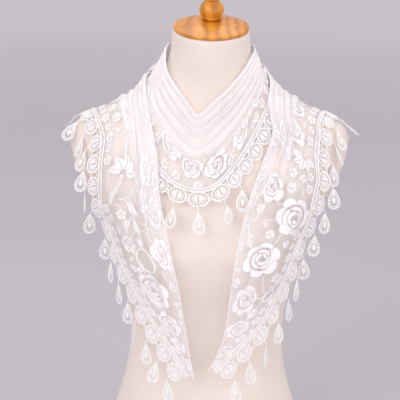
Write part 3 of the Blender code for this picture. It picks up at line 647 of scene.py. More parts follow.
class MeshStore:
    """Vertices and faces that grow piece by piece into one mesh."""

    def __init__(self) -> None:
        """Starts empty."""
        self.vertices: list[np.ndarray] = []
        self.faces: list[tuple[int, ...]] = []
        self.count = 0

    def add(self, points: np.ndarray, faces: Sequence[tuple[int, ...]]) -> None:
        """Adds points, and faces numbered from the first of them.

        Args:
            points: the points.
            faces: the faces, numbered from the first of the points.
        """
        self.vertices.append(points)
        self.faces += [tuple(v + self.count for v in face) for face in faces]
        self.count += len(points)

    def plate(self, top: np.ndarray, bottom: np.ndarray, inside: np.ndarray) -> None:
        """Adds a thin closed plate over the cells whose corners all lie inside.

        Args:
            top: the grid of its upper points.
            bottom: the grid of its lower points.
            inside: whether each point of the grid lies inside.
        """
        flags = inside.ravel().tolist()
        panes = [face for face in grid_faces(*inside.shape) if all(flags[v] for v in face)]
        if not panes:
            return
        edges = {edge for pane in panes for edge in zip(pane, pane[1:] + pane[:1])}
        shift = inside.size
        faces = panes + [tuple(v + shift for v in reversed(pane)) for pane in panes]
        for here, beside in sorted(edges):
            if (beside, here) not in edges:
                faces.append((beside, here, here + shift, beside + shift))
        self.add(np.concatenate([top.reshape(-1, 3), bottom.reshape(-1, 3)]), faces)

    def cord(
        self,
        path: np.ndarray,
        normals: np.ndarray,
        radius: float,
        closed: bool = False,
        sides: int = 5,
        flatness: float = 0.75,
    ) -> None:
        """Adds a cord along a path that lies on a surface.

        Args:
            path: the points of its middle line.
            normals: the surface's normal at each point, or one for all.
            radius: half the cord's width.
            closed: whether the path ends where it begins.
            sides: how many sides the cord has.
            flatness: its height as a share of its width.
        """
        if closed:
            tangents = np.roll(path, -1, axis=0) - np.roll(path, 1, axis=0)
        else:
            tangents = np.gradient(path, axis=0)
        tangents = unit_vectors(tangents)
        side = unit_vectors(np.cross(tangents, normals))
        up = np.cross(side, tangents)
        angles = circle_angles(sides)
        ring = (
            np.cos(angles)[None, :, None] * side[:, None, :]
            + flatness * np.sin(angles)[None, :, None] * up[:, None, :]
        )
        points = (path[:, None, :] + radius * ring).reshape(-1, 3)
        total = len(points)
        faces = [
            tuple(v % total for v in face) for face in grid_faces(len(path) + closed, sides, closed=True)
        ]
        if not closed:
            faces.append(tuple(range(sides)))
            faces.append(tuple(reversed(range(total - sides, total))))
        self.add(points, faces)

    def build(self, name: str, material: Material) -> Object:
        """Makes the object, with its faces pointing out and no loose points.

        Args:
            name: the object's name.
            material: its one material.

        Returns:
            The object, at the origin.
        """
        mesh = bpy.data.meshes.new(name)
        mesh.from_pydata(np.concatenate(self.vertices).tolist(), [], self.faces)
        shaper = bmesh.new()
        shaper.from_mesh(mesh)
        loose = [v for v in shaper.verts if not v.link_faces]
        bmesh.ops.delete(shaper, geom=loose, context="VERTS")
        bmesh.ops.recalc_face_normals(shaper, faces=shaper.faces)
        shaper.to_mesh(mesh)
        shaper.free()
        mesh.shade_smooth()
        mesh.set_sharp_from_angle(angle=math.radians(SHARP_ANGLE))
        mesh.materials.append(material)
        return add_object(name, mesh)


class NodeWriter:
    """Writes nodes and their links into a tree."""

    def __init__(self, tree: NodeTree) -> None:
        """Keeps the tree that is written to."""
        self.tree = tree

    def node(self, kind: str, inputs: dict[str | int, object] | None = None, **settings: object) -> Node:
        """Adds a node.

        Args:
            kind: the node's type.
            inputs: a value or a socket for some inputs, by name or number.
            **settings: the node's own settings.

        Returns:
            The new node.
        """
        made = self.tree.nodes.new(kind)
        for key, value in settings.items():
            setattr(made, key, value)
        for key, value in (inputs or {}).items():
            if isinstance(value, NodeSocket):
                self.link(value, made.inputs[key])
            else:
                made.inputs[key].default_value = value
        return made

    def link(self, output: NodeSocket, socket: NodeSocket) -> None:
        """Links an output to an input."""
        self.tree.links.new(output, socket)


class Brush(NodeWriter):
    """Draws a material's pattern in nodes before its shader."""

    def __init__(self, tree: NodeTree, shader: Node) -> None:
        """Keeps the material's tree and its shader."""
        super().__init__(tree)
        self.shader = shader

    def place(self, socket: str = "Object") -> NodeSocket:
        """The coordinates that a pattern is drawn in."""
        return self.node("ShaderNodeTexCoord").outputs[socket]

    def noise(self, place: NodeSocket, scale: float, detail: float = 3.0) -> NodeSocket:
        """A soft noise of a scale, from 0 to 1."""
        sizes = {"Vector": place, "Scale": scale, "Detail": detail}
        return self.node("ShaderNodeTexNoise", sizes).outputs["Fac"]

    def math(self, operation: str, *values: NodeSocket | float) -> NodeSocket:
        """A Math node on sockets or plain numbers."""
        return self.node("ShaderNodeMath", dict(enumerate(values)), operation=operation).outputs[0]

    def paint(self, value: NodeSocket, *stops: tuple[float, tuple[float, ...]]) -> None:
        """Colours the surface by a value.

        Args:
            value: the value.
            *stops: places along the value, and their colours.
        """
        node = self.node("ShaderNodeValToRGB", {"Fac": value})
        elements = node.color_ramp.elements
        while len(elements) < len(stops):
            elements.new(0.5)
        for element, (place, colour) in zip(elements, stops):
            element.position = place
            element.color = (*colour, 1.0)
        self.link(node.outputs["Color"], self.shader.inputs["Base Color"])

    def bump(self, height: NodeSocket, strength: float, distance: float) -> None:
        """Raises the surface by a height, without moving it."""
        node = self.node("ShaderNodeBump", {"Height": height, "Strength": strength, "Distance": distance})
        self.link(node.outputs["Normal"], self.shader.inputs["Normal"])


@dataclass(frozen=True)
class Finish:
    """A finish with one colour, roughness and sheen, which others build on."""

    name: str
    colour: tuple[float, float, float]
    roughness: float
    sheen: float = 0.0

    def material(self) -> Material:
        """Makes the material and dresses it.

        Returns:
            The material.
        """
        made = bpy.data.materials.new(self.name)
        made.use_nodes = True
        shader = made.node_tree.nodes["Principled BSDF"]
        for name, value in (
            ("Base Color", (*self.colour, 1.0)), ("Roughness", self.roughness),
            ("Sheen Weight", self.sheen), ("Sheen Roughness", 0.4),
        ):
            shader.inputs[name].default_value = value
        self.dress(Brush(made.node_tree, shader))
        return made

    def dress(self, brush: Brush) -> None:
        """Adds nothing: finer finishes override this."""


@dataclass(frozen=True)
class NetFinish(Finish):
    """Sheer machine net: fine threads with open cells, denser where gathered."""

    cell: float = 0.0017
    thread: float = 0.14
    uneven: float = 0.35
    patches: float = 26.0

    def dress(self, brush: Brush) -> None:
        """Draws the threads into the alpha.

        Args:
            brush: what the pattern is drawn with.
        """
        place = brush.place("UV")
        cells = brush.node(
            "ShaderNodeTexVoronoi", {"Vector": place, "Scale": 1 / self.cell, "Randomness": self.uneven},
            voronoi_dimensions="2D", feature="DISTANCE_TO_EDGE",
        )
        layers = brush.node("ShaderNodeAttribute", attribute_name="layers")
        width = brush.math("MULTIPLY", layers.outputs["Fac"], self.thread / 2)
        patches = brush.noise(place, self.patches)
        width = brush.math("MULTIPLY", width, brush.math("ADD", patches, 0.5))
        open_share = brush.math("DIVIDE", cells.outputs["Distance"], width)
        soft = brush.math("SUBTRACT", 1.5, open_share)
        threads = brush.node("ShaderNodeClamp", {"Value": soft}).outputs[0]
        brush.link(threads, brush.shader.inputs["Alpha"])
        brush.bump(threads, 0.3, 0.0002)


@dataclass(frozen=True)
class ThreadFinish(Finish):
    """White thread: fine ribs of yarn over a soft unevenness."""

    rib: float = 0.0009
    strength: float = 0.5
    patches: float = 120.0
    shade: tuple[float, float, float] = (0.86, 0.83, 0.85)

    def dress(self, brush: Brush) -> None:
        """Adds the ribs and a faint change of shade.

        Args:
            brush: what the pattern is drawn with.
        """
        place = brush.place()
        ribs = brush.node(
            "ShaderNodeTexWave",
            {
                "Vector": place, "Scale": WAVE_SCALE / self.rib, "Distortion": 2.5, "Detail": 2.0,
                "Detail Scale": 1.6,
            },
            wave_type="BANDS", bands_direction="DIAGONAL",
        )
        patches = brush.noise(place, self.patches)
        brush.paint(patches, (0.30, self.shade), (0.55, self.colour))
        mixed = brush.math("MULTIPLY_ADD", ribs.outputs["Fac"], 0.5, patches)
        brush.bump(mixed, self.strength, 0.0004)


@dataclass(frozen=True)
class JerseyFinish(Finish):
    """Fine stretch jersey: level rows of small loops and a faint mottling."""

    row: float = 0.0022
    loop: float = 0.0011
    mottling: float = 14.0
    shade: tuple[float, float, float] = (0.79, 0.68, 0.61)

    def dress(self, brush: Brush) -> None:
        """Adds the rows of loops and the mottling.

        Args:
            brush: what the pattern is drawn with.
        """
        place = brush.place()
        rows = brush.node(
            "ShaderNodeTexWave",
            {"Vector": place, "Scale": WAVE_SCALE / self.row, "Distortion": 1.2, "Detail Scale": 0.6},
            bands_direction="Z",
        ).outputs["Fac"]
        mixed = brush.math("MULTIPLY_ADD", rows, 0.10, brush.noise(place, self.mottling, 4.0))
        brush.paint(mixed, (0.25, self.shade), (0.62, self.colour))
        loops = brush.math("MULTIPLY_ADD", brush.noise(place, 0.5 / self.loop, 2.0), 0.8, rows)
        brush.bump(loops, 0.25, 0.0003)


@dataclass(frozen=True)
class WoodFinish(Finish):
    """Turned wood under gloss varnish: growth rings, grain and pores."""

    dark: tuple[float, float, float] = (0.52, 0.17, 0.013)
    rings: float = 30.0
    pores: float = 900.0
    coat: float = 0.3
    coat_roughness: float = 0.08

    def dress(self, brush: Brush) -> None:
        """Adds the grain and the varnish.

        Args:
            brush: what the pattern is drawn with.
        """
        brush.shader.inputs["Coat Weight"].default_value = self.coat
        brush.shader.inputs["Coat Roughness"].default_value = self.coat_roughness
        log = brush.node(
            "ShaderNodeMapping",
            {
                "Vector": brush.place(), "Location": (0.05, 0.03, 0.0), "Rotation": (1.45, 0.12, 0.3),
                "Scale": (1.0, 1.0, 0.12),
            },
        ).outputs[0]
        growth = brush.node(
            "ShaderNodeTexWave",
            {"Vector": log, "Scale": self.rings, "Distortion": 2.5, "Detail": 3.0, "Detail Scale": 1.5},
            wave_type="RINGS", rings_direction="Z",
        )
        pores = brush.noise(log, self.pores, 2.0)
        mixed = brush.math("MULTIPLY_ADD", pores, 0.25, growth.outputs["Fac"])
        middle = tuple((a + b) / 2 for a, b in zip(self.dark, self.colour))
        brush.paint(mixed, (0.10, self.dark), (0.45, middle), (0.95, self.colour))
        brush.bump(pores, 0.05, 0.0002)


@dataclass(frozen=True)
class FloorFinish(Finish):
    """Plain paper whose colour is painted paler far away, as painted light on the distant floor and wall."""

    # The far colour is painted light: a paler colour far away in place of brighter light there
    far: tuple[float, float, float] = (0.74, 0.70, 0.74)
    reach: float = 16.0

    def dress(self, brush: Brush) -> None:
        """Adds the painted brightening with distance, which stands in for light, and a barely visible
        unevenness.

        Args:
            brush: what the pattern is drawn with.
        """
        place = brush.place()
        length = brush.node("ShaderNodeVectorMath", {0: place}, operation="LENGTH")
        away = brush.math("DIVIDE", length.outputs["Value"], self.reach)
        mixed = brush.math("MULTIPLY_ADD", brush.noise(place, 3.0), 0.02, away)
        # Painted light: the colour turns paler with distance from the origin
        brush.paint(mixed, (0.10, self.colour), (0.60, self.far))


class Slot(Enum):
    """The record's material slots."""

    FORM = "form_cover"
    WOOD = "varnished_wood"
    NET = "lace_net"
    GUIPURE = "guipure_lace"


@dataclass
class Finishes:
    """Every material of the scene, made once."""

    net: Material = field(
        default_factory=NetFinish("sheer_net", (0.885, 0.845, 0.855), 0.55, 0.25).material
    )
    flowers: Material = field(
        default_factory=ThreadFinish("woven_flowers", (0.94, 0.90, 0.915), 0.55, 0.2).material
    )
    guipure: Material = field(
        default_factory=ThreadFinish("guipure_cord", (0.95, 0.92, 0.92), 0.6, 0.1, rib=0.0006).material
    )
    jersey: Material = field(
        default_factory=JerseyFinish("stretch_jersey", (0.83, 0.735, 0.675), 0.8, 0.2).material
    )
    wood: Material = field(
        default_factory=WoodFinish("varnished_wood_grain", (0.76, 0.295, 0.022), 0.35).material
    )
    floor: Material = field(
        default_factory=FloorFinish("pale_floor", (0.54, 0.505, 0.54), 0.9).material
    )


def declare(piece: Object, slot: Slot, *replaced: str) -> None:
    """Rides a piece on the body and hides the solids that it stands for.

    Args:
        piece: the finished piece.
        slot: not used.
        replaced: the solids that it stands for.
    """
    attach(piece, ROOT)
    if replaced:
        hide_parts(*replaced)
    LOG.info("%s: %d faces", piece.name, len(piece.data.polygons))


@dataclass
class FormBody:
    """The rounded copies of the torso, the neck cap and the finial."""

    finishes: Finishes
    levels: int = 2
    merge_distance: float = 0.00002
    crease_angle: float = 35.0
    crease_share: float = 0.8
    flat_angle: float = 25.0
    shape_angle: float = 60.0

    def build(self) -> None:
        """Rounds and dresses the three hard pieces."""
        for node, name, material, slot in (
            ("dress_form", "torso", self.finishes.jersey, Slot.FORM),
            ("neck_cap", "cap_of_wood", self.finishes.wood, Slot.WOOD),
            ("finial", "turned_finial", self.finishes.wood, Slot.WOOD),
        ):
            declare(self.rounded(node, name, material), slot, node)

    def rounded(self, node: str, name: str, material: Material) -> Object:
        """Copies a solid, merged and in quads, and smooths it between its rings.

        Args:
            node: the solid's node.
            name: the new piece's name.
            material: its material.

        Returns:
            The new piece.
        """
        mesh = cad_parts[node].data.copy()
        mesh.name = name
        shaper = bmesh.new()
        shaper.from_mesh(mesh)
        bmesh.ops.remove_doubles(shaper, verts=shaper.verts, dist=self.merge_distance)
        bmesh.ops.join_triangles(
            shaper, faces=shaper.faces, angle_face_threshold=math.radians(self.flat_angle),
            angle_shape_threshold=math.radians(self.shape_angle),
        )
        crease = shaper.edges.layers.float.new("crease_edge")
        for edge in shaper.edges:
            if edge.calc_face_angle(0.0) > math.radians(self.crease_angle):
                edge[crease] = self.crease_share
        shaper.to_mesh(mesh)
        shaper.free()
        mesh.materials.clear()
        mesh.materials.append(material)
        mesh.shade_smooth()
        piece = add_object(name, mesh)
        rounding = piece.modifiers.new("rounding", "SUBSURF")
        rounding.levels = self.levels
        rounding.render_levels = self.levels
        return piece


@dataclass
class NetPanel:
    """The sheer ground of one stretch of the shawl."""

    strip: Strip
    node: str
    first: float
    last: float
    material: Material
    thickness: float = 0.0003

    def build(self) -> None:
        """Makes the panel between its two stations."""
        strip = self.strip
        low, high = (strip.coarse_row(place) * strip.row_steps for place in (self.first, self.last))
        stretch = slice(low, high + 1)
        points = strip.points[stretch]
        rows, columns = points.shape[:2]
        store = MeshStore()
        store.add(points.reshape(-1, 3), grid_faces(rows, columns))
        piece = store.build(f"net_{self.node}", self.material)
        mesh = piece.data
        middle = strip.along[stretch].mean(axis=1)
        place = np.stack([np.repeat(middle, columns), strip.across[stretch].reshape(-1)], axis=1)
        chart = mesh.uv_layers.new(name="cloth")
        corners = np.zeros(len(mesh.loops), np.int32)
        mesh.loops.foreach_get("vertex_index", corners)
        chart.data.foreach_set("uv", place[corners].astype(np.float32).ravel())
        layers = mesh.attributes.new("layers", "FLOAT", "POINT")
        layers.data.foreach_set("value", strip.layers[stretch].astype(np.float32).ravel())
        self.face_outwards(mesh, strip.normals[stretch].reshape(-1, 3))
        wall = piece.modifiers.new("net_thickness", "SOLIDIFY")
        wall.thickness = self.thickness
        wall.offset = 0.0
        hide_from(piece, "shadow")
        declare(piece, Slot.NET, self.node)

    @staticmethod
    def face_outwards(mesh: Mesh, normals: np.ndarray) -> None:
        """Turns the faces over if they look inwards.

        Args:
            mesh: the panel's mesh.
            normals: the outward normal at each of its vertices.
        """
        face = mesh.polygons[len(mesh.polygons) // 2]
        if np.dot(np.array(face.normal), normals[face.vertices[0]]) < 0:
            mesh.flip_normals()


@dataclass
class Stage:
    """The floor, the lights and the camera."""

    finishes: Finishes
    tilt: float = 12.0
    roll: float = 0.9
    target: tuple[float, float, float] = (-0.0125, -0.03, 0.418)
    distance: float = 1.84
    lens: float = 112.5
    sensor: float = 36.0
    floor_radius: float = 16.0
    wall_curve: float = 9.0
    near: float = 2.0
    near_curve: float = 1.2
    near_bend: float = 50.0
    near_columns: int = 33
    near_steps: int = 24
    facets: int = 96
    steps: int = 10
    aim: tuple[float, float, float] = (0.0, 0.0, 0.42)

    def build(self) -> None:
        """Sets the stage."""
        self.floor()
        self.front_wall()
        self.lights()
        self.camera()

    def floor(self) -> None:
        """A wide pale floor, and a far wall that rises from it in a curve."""
        turn = circle_angles(self.facets)
        around = np.stack([np.cos(turn), np.sin(turn)], axis=1)
        disc = MeshStore()
        rim = np.concatenate([around * self.floor_radius, np.zeros((self.facets, 1))], axis=1)
        disc.add(rim, [tuple(range(self.facets))])
        disc.build("floor", self.finishes.floor)
        rise = np.linspace(0.0, math.pi / 2, self.steps)
        reach = self.floor_radius + self.wall_curve * np.append(np.sin(rise), 1.0)
        height = np.append(self.wall_curve * (1 - np.cos(rise)), 2 * self.wall_curve)
        rings = [
            np.concatenate([around * r, np.full((self.facets, 1), h)], axis=1)
            for r, h in zip(reach, height)
        ]
        wall = MeshStore()
        wall.add(np.concatenate(rings), grid_faces(len(rings), self.facets, closed=True))
        backdrop = wall.build("far_wall", self.finishes.floor)
        hide_from(backdrop, "diffuse", "shadow")

    def front_wall(self) -> None:
        """A curved wall between the object and the lights, which only the back views see."""
        bend = math.radians(self.near_bend)
        turn = np.linspace(-bend, bend, self.near_columns)
        outward = np.stack([np.sin(turn), -np.cos(turn), np.zeros_like(turn)], axis=1)
        outward = np.concatenate([outward[:1], outward, outward[-1:]])
        foot = outward * self.near
        foot[0] += self.floor_radius * np.array([-math.cos(bend), math.sin(bend), 0.0])
        foot[-1] += self.floor_radius * np.array([math.cos(bend), math.sin(bend), 0.0])
        rise = np.linspace(0.0, math.pi / 2, self.near_steps)
        away = self.near_curve * np.append(np.sin(rise), 1.0)
        height = np.append(self.near_curve * (1 - np.cos(rise)), 2 * self.wall_curve)
        rings = [foot + outward * a + np.array([0.0, 0.0, h]) for a, h in zip(away, height)]
        sheet = MeshStore()
        sheet.add(np.concatenate(rings), grid_faces(len(rings), len(foot)))
        wall = sheet.build("front_wall", self.finishes.floor)
        hide_from(wall, "diffuse", "glossy", "transmission", "shadow")

    def lights(self) -> None:
        """A large key from the upper left, weak fills and a pale sky."""
        for name, place, size, power in (
            ("key", (-2.4, -3.6, 2.5), 2.4, 62.0),
            ("fill", (3.0, -3.2, 0.8), 2.4, 44.0),
            ("low", (0.2, -3.8, 0.3), 2.0, 24.0),
            ("top", (0.0, 0.6, 2.6), 1.6, 11.0),
        ):
            light = bpy.data.lights.new(name, "AREA")
            light.size = size
            light.energy = power
            item = add_object(name, light)
            item.location = place
            aim = Vector(self.aim) - Vector(place)
            item.rotation_euler = aim.to_track_quat("-Z", "Y").to_euler()
        bpy.context.scene.view_settings.view_transform = "Standard"
        world = bpy.data.worlds.new("soft_room")
        world.use_nodes = True
        sky = world.node_tree.nodes["Background"]
        sky.inputs["Color"].default_value = (1.0, 0.98, 1.0, 1.0)
        sky.inputs["Strength"].default_value = 0.77
        bpy.context.scene.world = world

    def camera(self) -> None:
        """The camera at the photograph's angle."""
        tilt, roll = math.radians(self.tilt), math.radians(self.roll)
        back = Vector((0.0, -math.cos(tilt), math.sin(tilt)))
        level, above = Vector((1.0, 0.0, 0.0)), Vector((0.0, math.sin(tilt), math.cos(tilt)))
        right = level * math.cos(roll) + above * math.sin(roll)
        up = above * math.cos(roll) - level * math.sin(roll)
        lens = bpy.data.cameras.new("camera")
        lens.lens = self.lens
        lens.sensor_width = self.sensor
        item = add_object("camera", lens)
        place = Vector(self.target) + back * self.distance
        item.matrix_world = Matrix(
            [[right[i], up[i], back[i], place[i]] for i in range(3)] + [[0.0, 0.0, 0.0, 1.0]]
        )
        bpy.context.scene.camera = item


class RepeatTree(NodeWriter):
    """A Geometry Nodes tree, made in the script, with named inputs."""

    def __init__(self, name: str) -> None:
        """Starts with a geometry going in and a geometry coming out.

        Args:
            name: the tree's name.
        """
        super().__init__(bpy.data.node_groups.new(name, "GeometryNodeTree"))
        for way in ("INPUT", "OUTPUT"):
            self.tree.interface.new_socket("Geometry", in_out=way, socket_type="NodeSocketGeometry")
        self.inputs = self.node("NodeGroupInput")
        self.outputs = self.node("NodeGroupOutput")
        self.values: dict[str, object] = {}

    @property
    def seed(self) -> NodeSocket:
        """The geometry that the tree grows from."""
        return self.inputs.outputs["Geometry"]

    def ask(self, name: str, kind: str, value: object) -> NodeSocket:
        """Adds a named input.

        Args:
            name: the input's name.
            kind: its socket's type.
            value: what it will be given.

        Returns:
            The socket that brings it into the tree.
        """
        socket = self.tree.interface.new_socket(name, in_out="INPUT", socket_type=kind)
        self.values[socket.identifier] = value
        return self.inputs.outputs[name]

    def finish(self, geometry: NodeSocket, material: NodeSocket) -> None:
        """Ends the tree with real geometry that has its material.

        Args:
            geometry: what the tree has made.
            material: the input that brings the material.
        """
        real = self.node("GeometryNodeRealizeInstances", {0: geometry})
        paint = self.node("GeometryNodeSetMaterial", {"Geometry": real.outputs[0], "Material": material})
        self.link(paint.outputs[0], self.outputs.inputs[0])

    def grow(self, name: str, seed_mesh: Mesh) -> Object:
        """Runs the tree on a mesh and keeps the result as a plain mesh.

        Args:
            name: the new piece's name.
            seed_mesh: the points or lines that the tree grows from.

        Returns:
            The new piece, at the origin.
        """
        holder = bpy.data.objects.new("seed", seed_mesh)
        modifier = holder.modifiers.new("grow", "NODES")
        modifier.node_group = self.tree
        for identifier, value in self.values.items():
            modifier[identifier] = value
        bpy.context.scene.collection.objects.link(holder)
        bpy.context.view_layer.update()
        evaluated = holder.evaluated_get(bpy.context.evaluated_depsgraph_get())
        mesh = bpy.data.meshes.new_from_object(evaluated)
        bpy.data.objects.remove(holder)
        mesh.name = name
        return add_object(name, mesh)


def line_mesh(line: np.ndarray) -> Mesh:
    """Makes a mesh of an open line.

    Args:
        line: its points.

    Returns:
        The mesh, with edges and no faces.
    """
    mesh = bpy.data.meshes.new("line")
    mesh.from_pydata(line.tolist(), [(k, k + 1) for k in range(len(line) - 1)], [])
    return mesh


class HangingDrop(NamedTuple):
    """One packed drop: its tip on the edging, its top, and its directions."""

    tip: np.ndarray
    top: np.ndarray
    down: np.ndarray
    facing: np.ndarray


def find_drops(node: str) -> list[HangingDrop]:
    """Finds the drops of a packed edging, by the small faces that end them.

    Args:
        node: the edging's node.

    Returns:
        The drops, each followed up from its end to the edging.
    """
    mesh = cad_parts[node].data
    mesh.calc_loop_triangles()
    raw = node_points([node])
    _, first, number = np.unique(np.round(raw, 6), axis=0, return_index=True, return_inverse=True)
    points, number = raw[first], number.ravel()
    triangles = [tuple(int(number[v]) for v in t.vertices) for t in mesh.loop_triangles]
    beside: dict[int, set[int]] = {}
    for triangle in triangles:
        for v in triangle:
            beside.setdefault(v, set()).update(triangle)
    width, thick = DROP_WIDTH * DROP_END_SHARE, DROP_THICKNESS
    sides = np.array([thick, width, math.hypot(width, thick)])
    ends: dict[tuple[int, int], list[set[int]]] = {}
    for triangle in triangles:
        corners = points[list(triangle)]
        lengths = np.linalg.norm(corners - np.roll(corners, 1, axis=0), axis=1)
        if np.abs(np.sort(lengths) - sides).max() < DROP_END_TOLERANCE:
            far = max(
                ((a, b) for a in triangle for b in triangle if a < b),
                key=lambda pair: np.linalg.norm(points[pair[0]] - points[pair[1]]),
            )
            ends.setdefault(far, []).append(set(triangle))
    found = []
    for pair in ends.values():
        ring = set().union(*pair)
        seen, rings = set(ring), [ring]
        while len(rings) < DROP_RINGS + 1 and len(ring) == 4:
            ring = set().union(*(beside[v] for v in ring)) - seen
            seen |= ring
            rings.append(ring)
        if [len(r) for r in rings] != [4] * (DROP_RINGS + 1):
            continue
        centres = [points[list(r)].mean(axis=0) for r in rings]
        wide = list(rings[2])
        gaps = [np.linalg.norm(points[wide[0]] - points[v]) for v in wide[1:]]
        partner = wide[1 + int(np.argmin(gaps))]
        others = [v for v in wide if v not in (wide[0], partner)]
        one_side = (points[wide[0]] + points[partner]) / 2
        down = unit_vectors(centres[0] - centres[4])
        across = unit_vectors(points[others].mean(axis=0) - one_side)
        facing = np.cross(unit_vectors(across - down * (across @ down)), down)
        if facing @ (centres[2] * np.array([1.0, 1.0, 0.0])) < 0:
            facing = -facing
        found.append(HangingDrop(centres[5], centres[4], down, facing))
    return found


@dataclass
class EdgingLace:
    """The corded edging of one hem, with its heading, fans and links.

    Depths, the wave and fan_centre are shares of the edging's depth, and
    widest is a share of a repeat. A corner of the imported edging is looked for
    within aside, below and above of its flat place.
    """

    strip: Strip
    node: str
    material: Material
    cord: float = 0.0011
    fine: float = 0.00072
    picot: float = 0.00055
    fan_centre: float = 0.57
    fan_wide: float = 0.0126
    fan_deep: float = 0.0102
    inner: float = 0.58
    widest: float = 0.44
    spokes: int = 15
    loops: int = 11
    tip_gap: float = 0.14
    leaf_lift: float = 0.0004
    leaf_share: float = 0.50
    loop_spread: float = 112.0
    loop_reach: float = 0.13
    cord_depths: tuple[float, float] = (0.015, 0.19)
    wave_middle: float = 0.10
    wave_height: float = 0.085
    link_start: float = 0.93
    link_depths: tuple[tuple[float, float], ...] = ((0.42, -0.10), (0.66, 0.05))
    aside: float = 0.0022
    below: float = 0.004
    above: float = 0.03

    def __post_init__(self) -> None:
        """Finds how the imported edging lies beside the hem."""
        self.first, last = self.strip.trimmed
        self.count = (last - self.first) // 2
        self.frames = [self.hem_frame(row) for row in range(len(self.strip.coarse_places))]
        self.find_lifts()

    def hem_frame(self, row: int) -> Pair:
        """Finds how the edging leaves the hem at one row.

        Args:
            row: the solid's own row.

        Returns:
            The direction away from the cloth, and the normal.
        """
        points, normals = self.strip.coarse, self.strip.coarse_normals
        run = unit_vectors(points[min(row + 1, len(points) - 1), -1] - points[max(row - 1, 0), -1])
        normal = unit_vectors(normals[row, -1] - run * (normals[row, -1] @ run))
        out = np.cross(run, normal)
        if out @ (points[row, -1] - points[row, -2]) < 0:
            out = -out
        return out, normal

    def flat_point(self, mark: float, depth: float) -> Pair:
        """Finds a place of the edging before it is lifted.

        Args:
            mark: a place along the hem, in the solid's own rows.
            depth: a share of the edging's depth.

        Returns:
            The point and its normal.
        """
        strip = self.strip
        row = min(int(mark), len(self.frames) - 2)
        share = mark - row
        out, normal = (
            here * (1 - share) + beside * share
            for here, beside in zip(self.frames[row], self.frames[row + 1])
        )
        fine = np.clip(mark * strip.row_steps, 0, len(strip.points) - 1.001)
        low = int(fine)
        hem = strip.points[low, -1] * (1 - fine + low) + strip.points[low + 1, -1] * (fine - low)
        reach = unit_vectors(out + np.array([0.0, 0.0, -EDGING_DROOP * depth]))
        return hem + reach * (SEAM_GAP + depth * EDGING_DEPTH), unit_vectors(normal)

    def find_lifts(self) -> None:
        """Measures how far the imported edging's corners were lifted."""
        solid = node_points([self.node])
        spots, lifts = [], []
        for unit in range(self.count):
            for corner in SCALLOP:
                mark = self.first + 2 * (unit + corner.along)
                point, _ = self.flat_point(mark, corner.depth)
                _, outward = self.strip.surface.foot(point)
                offset = solid - point
                height = offset @ outward
                away = np.linalg.norm(offset - height[:, None] * outward, axis=1)
                near = (away < self.aside) & (height > -self.below) & (height < self.above)
                if near.any():
                    spots.append((mark / 2, corner.depth))
                    lifts.append((height[near].min(), *outward))
        self.spots = np.array(spots)
        self.lifts = np.array(lifts)
        LOG.info("%s: %d of %d corners read", self.node, len(spots), self.count * len(SCALLOP))

    def lay(self, marks: np.ndarray, depths: np.ndarray) -> Pair:
        """Lays a drawing of the edging on its lifted surface.

        Args:
            marks: places along the hem, in the solid's own rows.
            depths: shares of the edging's depth.

        Returns:
            The points and their normals.
        """
        points, normals = map(np.array, zip(*(self.flat_point(*spot) for spot in zip(marks, depths))))
        away = np.stack([marks / 2, depths], axis=1)[:, None, :] - self.spots[None, :, :]
        weights = 1 / (np.sum(away**2, axis=2) + 0.002) ** 2
        weights /= weights.sum(axis=1, keepdims=True)
        lifts = weights @ self.lifts
        share = smoothstep(0.0, 0.2, depths)[:, None]
        middle = normals * EDGING_THICKNESS / 2
        return points + unit_vectors(lifts[:, 1:]) * lifts[:, :1] * share + middle, normals

    def build(self) -> Object:
        """Makes the whole edging.

        Returns:
            The finished piece.
        """
        store = MeshStore()
        self.heading(store)
        for unit in range(self.count):
            self.fan(store, unit)
            if unit < self.count - 1:
                self.links_between(store, unit)
        return store.build(self.node.replace("edging", "guipure"), self.material)

    def heading(self, store: MeshStore) -> None:
        """Adds two cords along the hem, with a wave of cord between them.

        Args:
            store: what the cords are added to.
        """
        last = self.first + 2 * self.count
        marks = np.linspace(self.first, last, self.count * 12 + 1)
        for depth in self.cord_depths:
            store.cord(*self.lay(marks, np.full(len(marks), depth)), self.cord)
        wave = np.linspace(self.first, last, self.count * 28 + 1)
        depth = self.wave_middle + self.wave_height * np.cos(np.arange(len(wave)) * math.pi / 2)
        store.cord(*self.lay(wave, depth), self.fine, sides=4)

    def fan_points(self, unit: int, wide: np.ndarray, deep: np.ndarray) -> Pair:
        """Lays points given in metres from a fan's centre."""
        marks = self.first + 2 * (unit + 0.5 + wide / self.pitch(unit))
        return self.lay(marks, self.fan_centre + deep / EDGING_DEPTH)

    def pitch(self, unit: int) -> float:
        """The real length of one repeat along the hem."""
        low = self.first + 2 * unit
        return float(running_lengths(self.strip.coarse[low : low + 3, -1])[-1])

    def fan(self, store: MeshStore, unit: int) -> None:
        """Adds a round fan: two ringed cords with bars between, a leaf and picots.

        Args:
            store: what the cords are added to.
            unit: the repeat's number along the hem.
        """
        wide, deep = min(self.fan_wide, self.widest * self.pitch(unit)), self.fan_deep
        for size, count, radius, sides in ((1.0, 26, self.cord, 5), (self.inner, 18, self.fine, 4)):
            turn = circle_angles(count)
            place = self.fan_points(unit, size * wide * np.sin(turn), size * deep * np.cos(turn))
            store.cord(*place, radius, True, sides)
        reach = np.array([self.inner, (self.inner + 1) / 2, 1.0])
        for bar in range(self.spokes):
            angle = 2 * math.pi * (bar + 0.5) / self.spokes
            place = self.fan_points(unit, reach * wide * math.sin(angle), reach * deep * math.cos(angle))
            store.cord(*place, self.fine, sides=4)
        self.leaf(store, unit, self.leaf_share * wide, self.leaf_share * deep)
        self.picots(store, unit, wide)

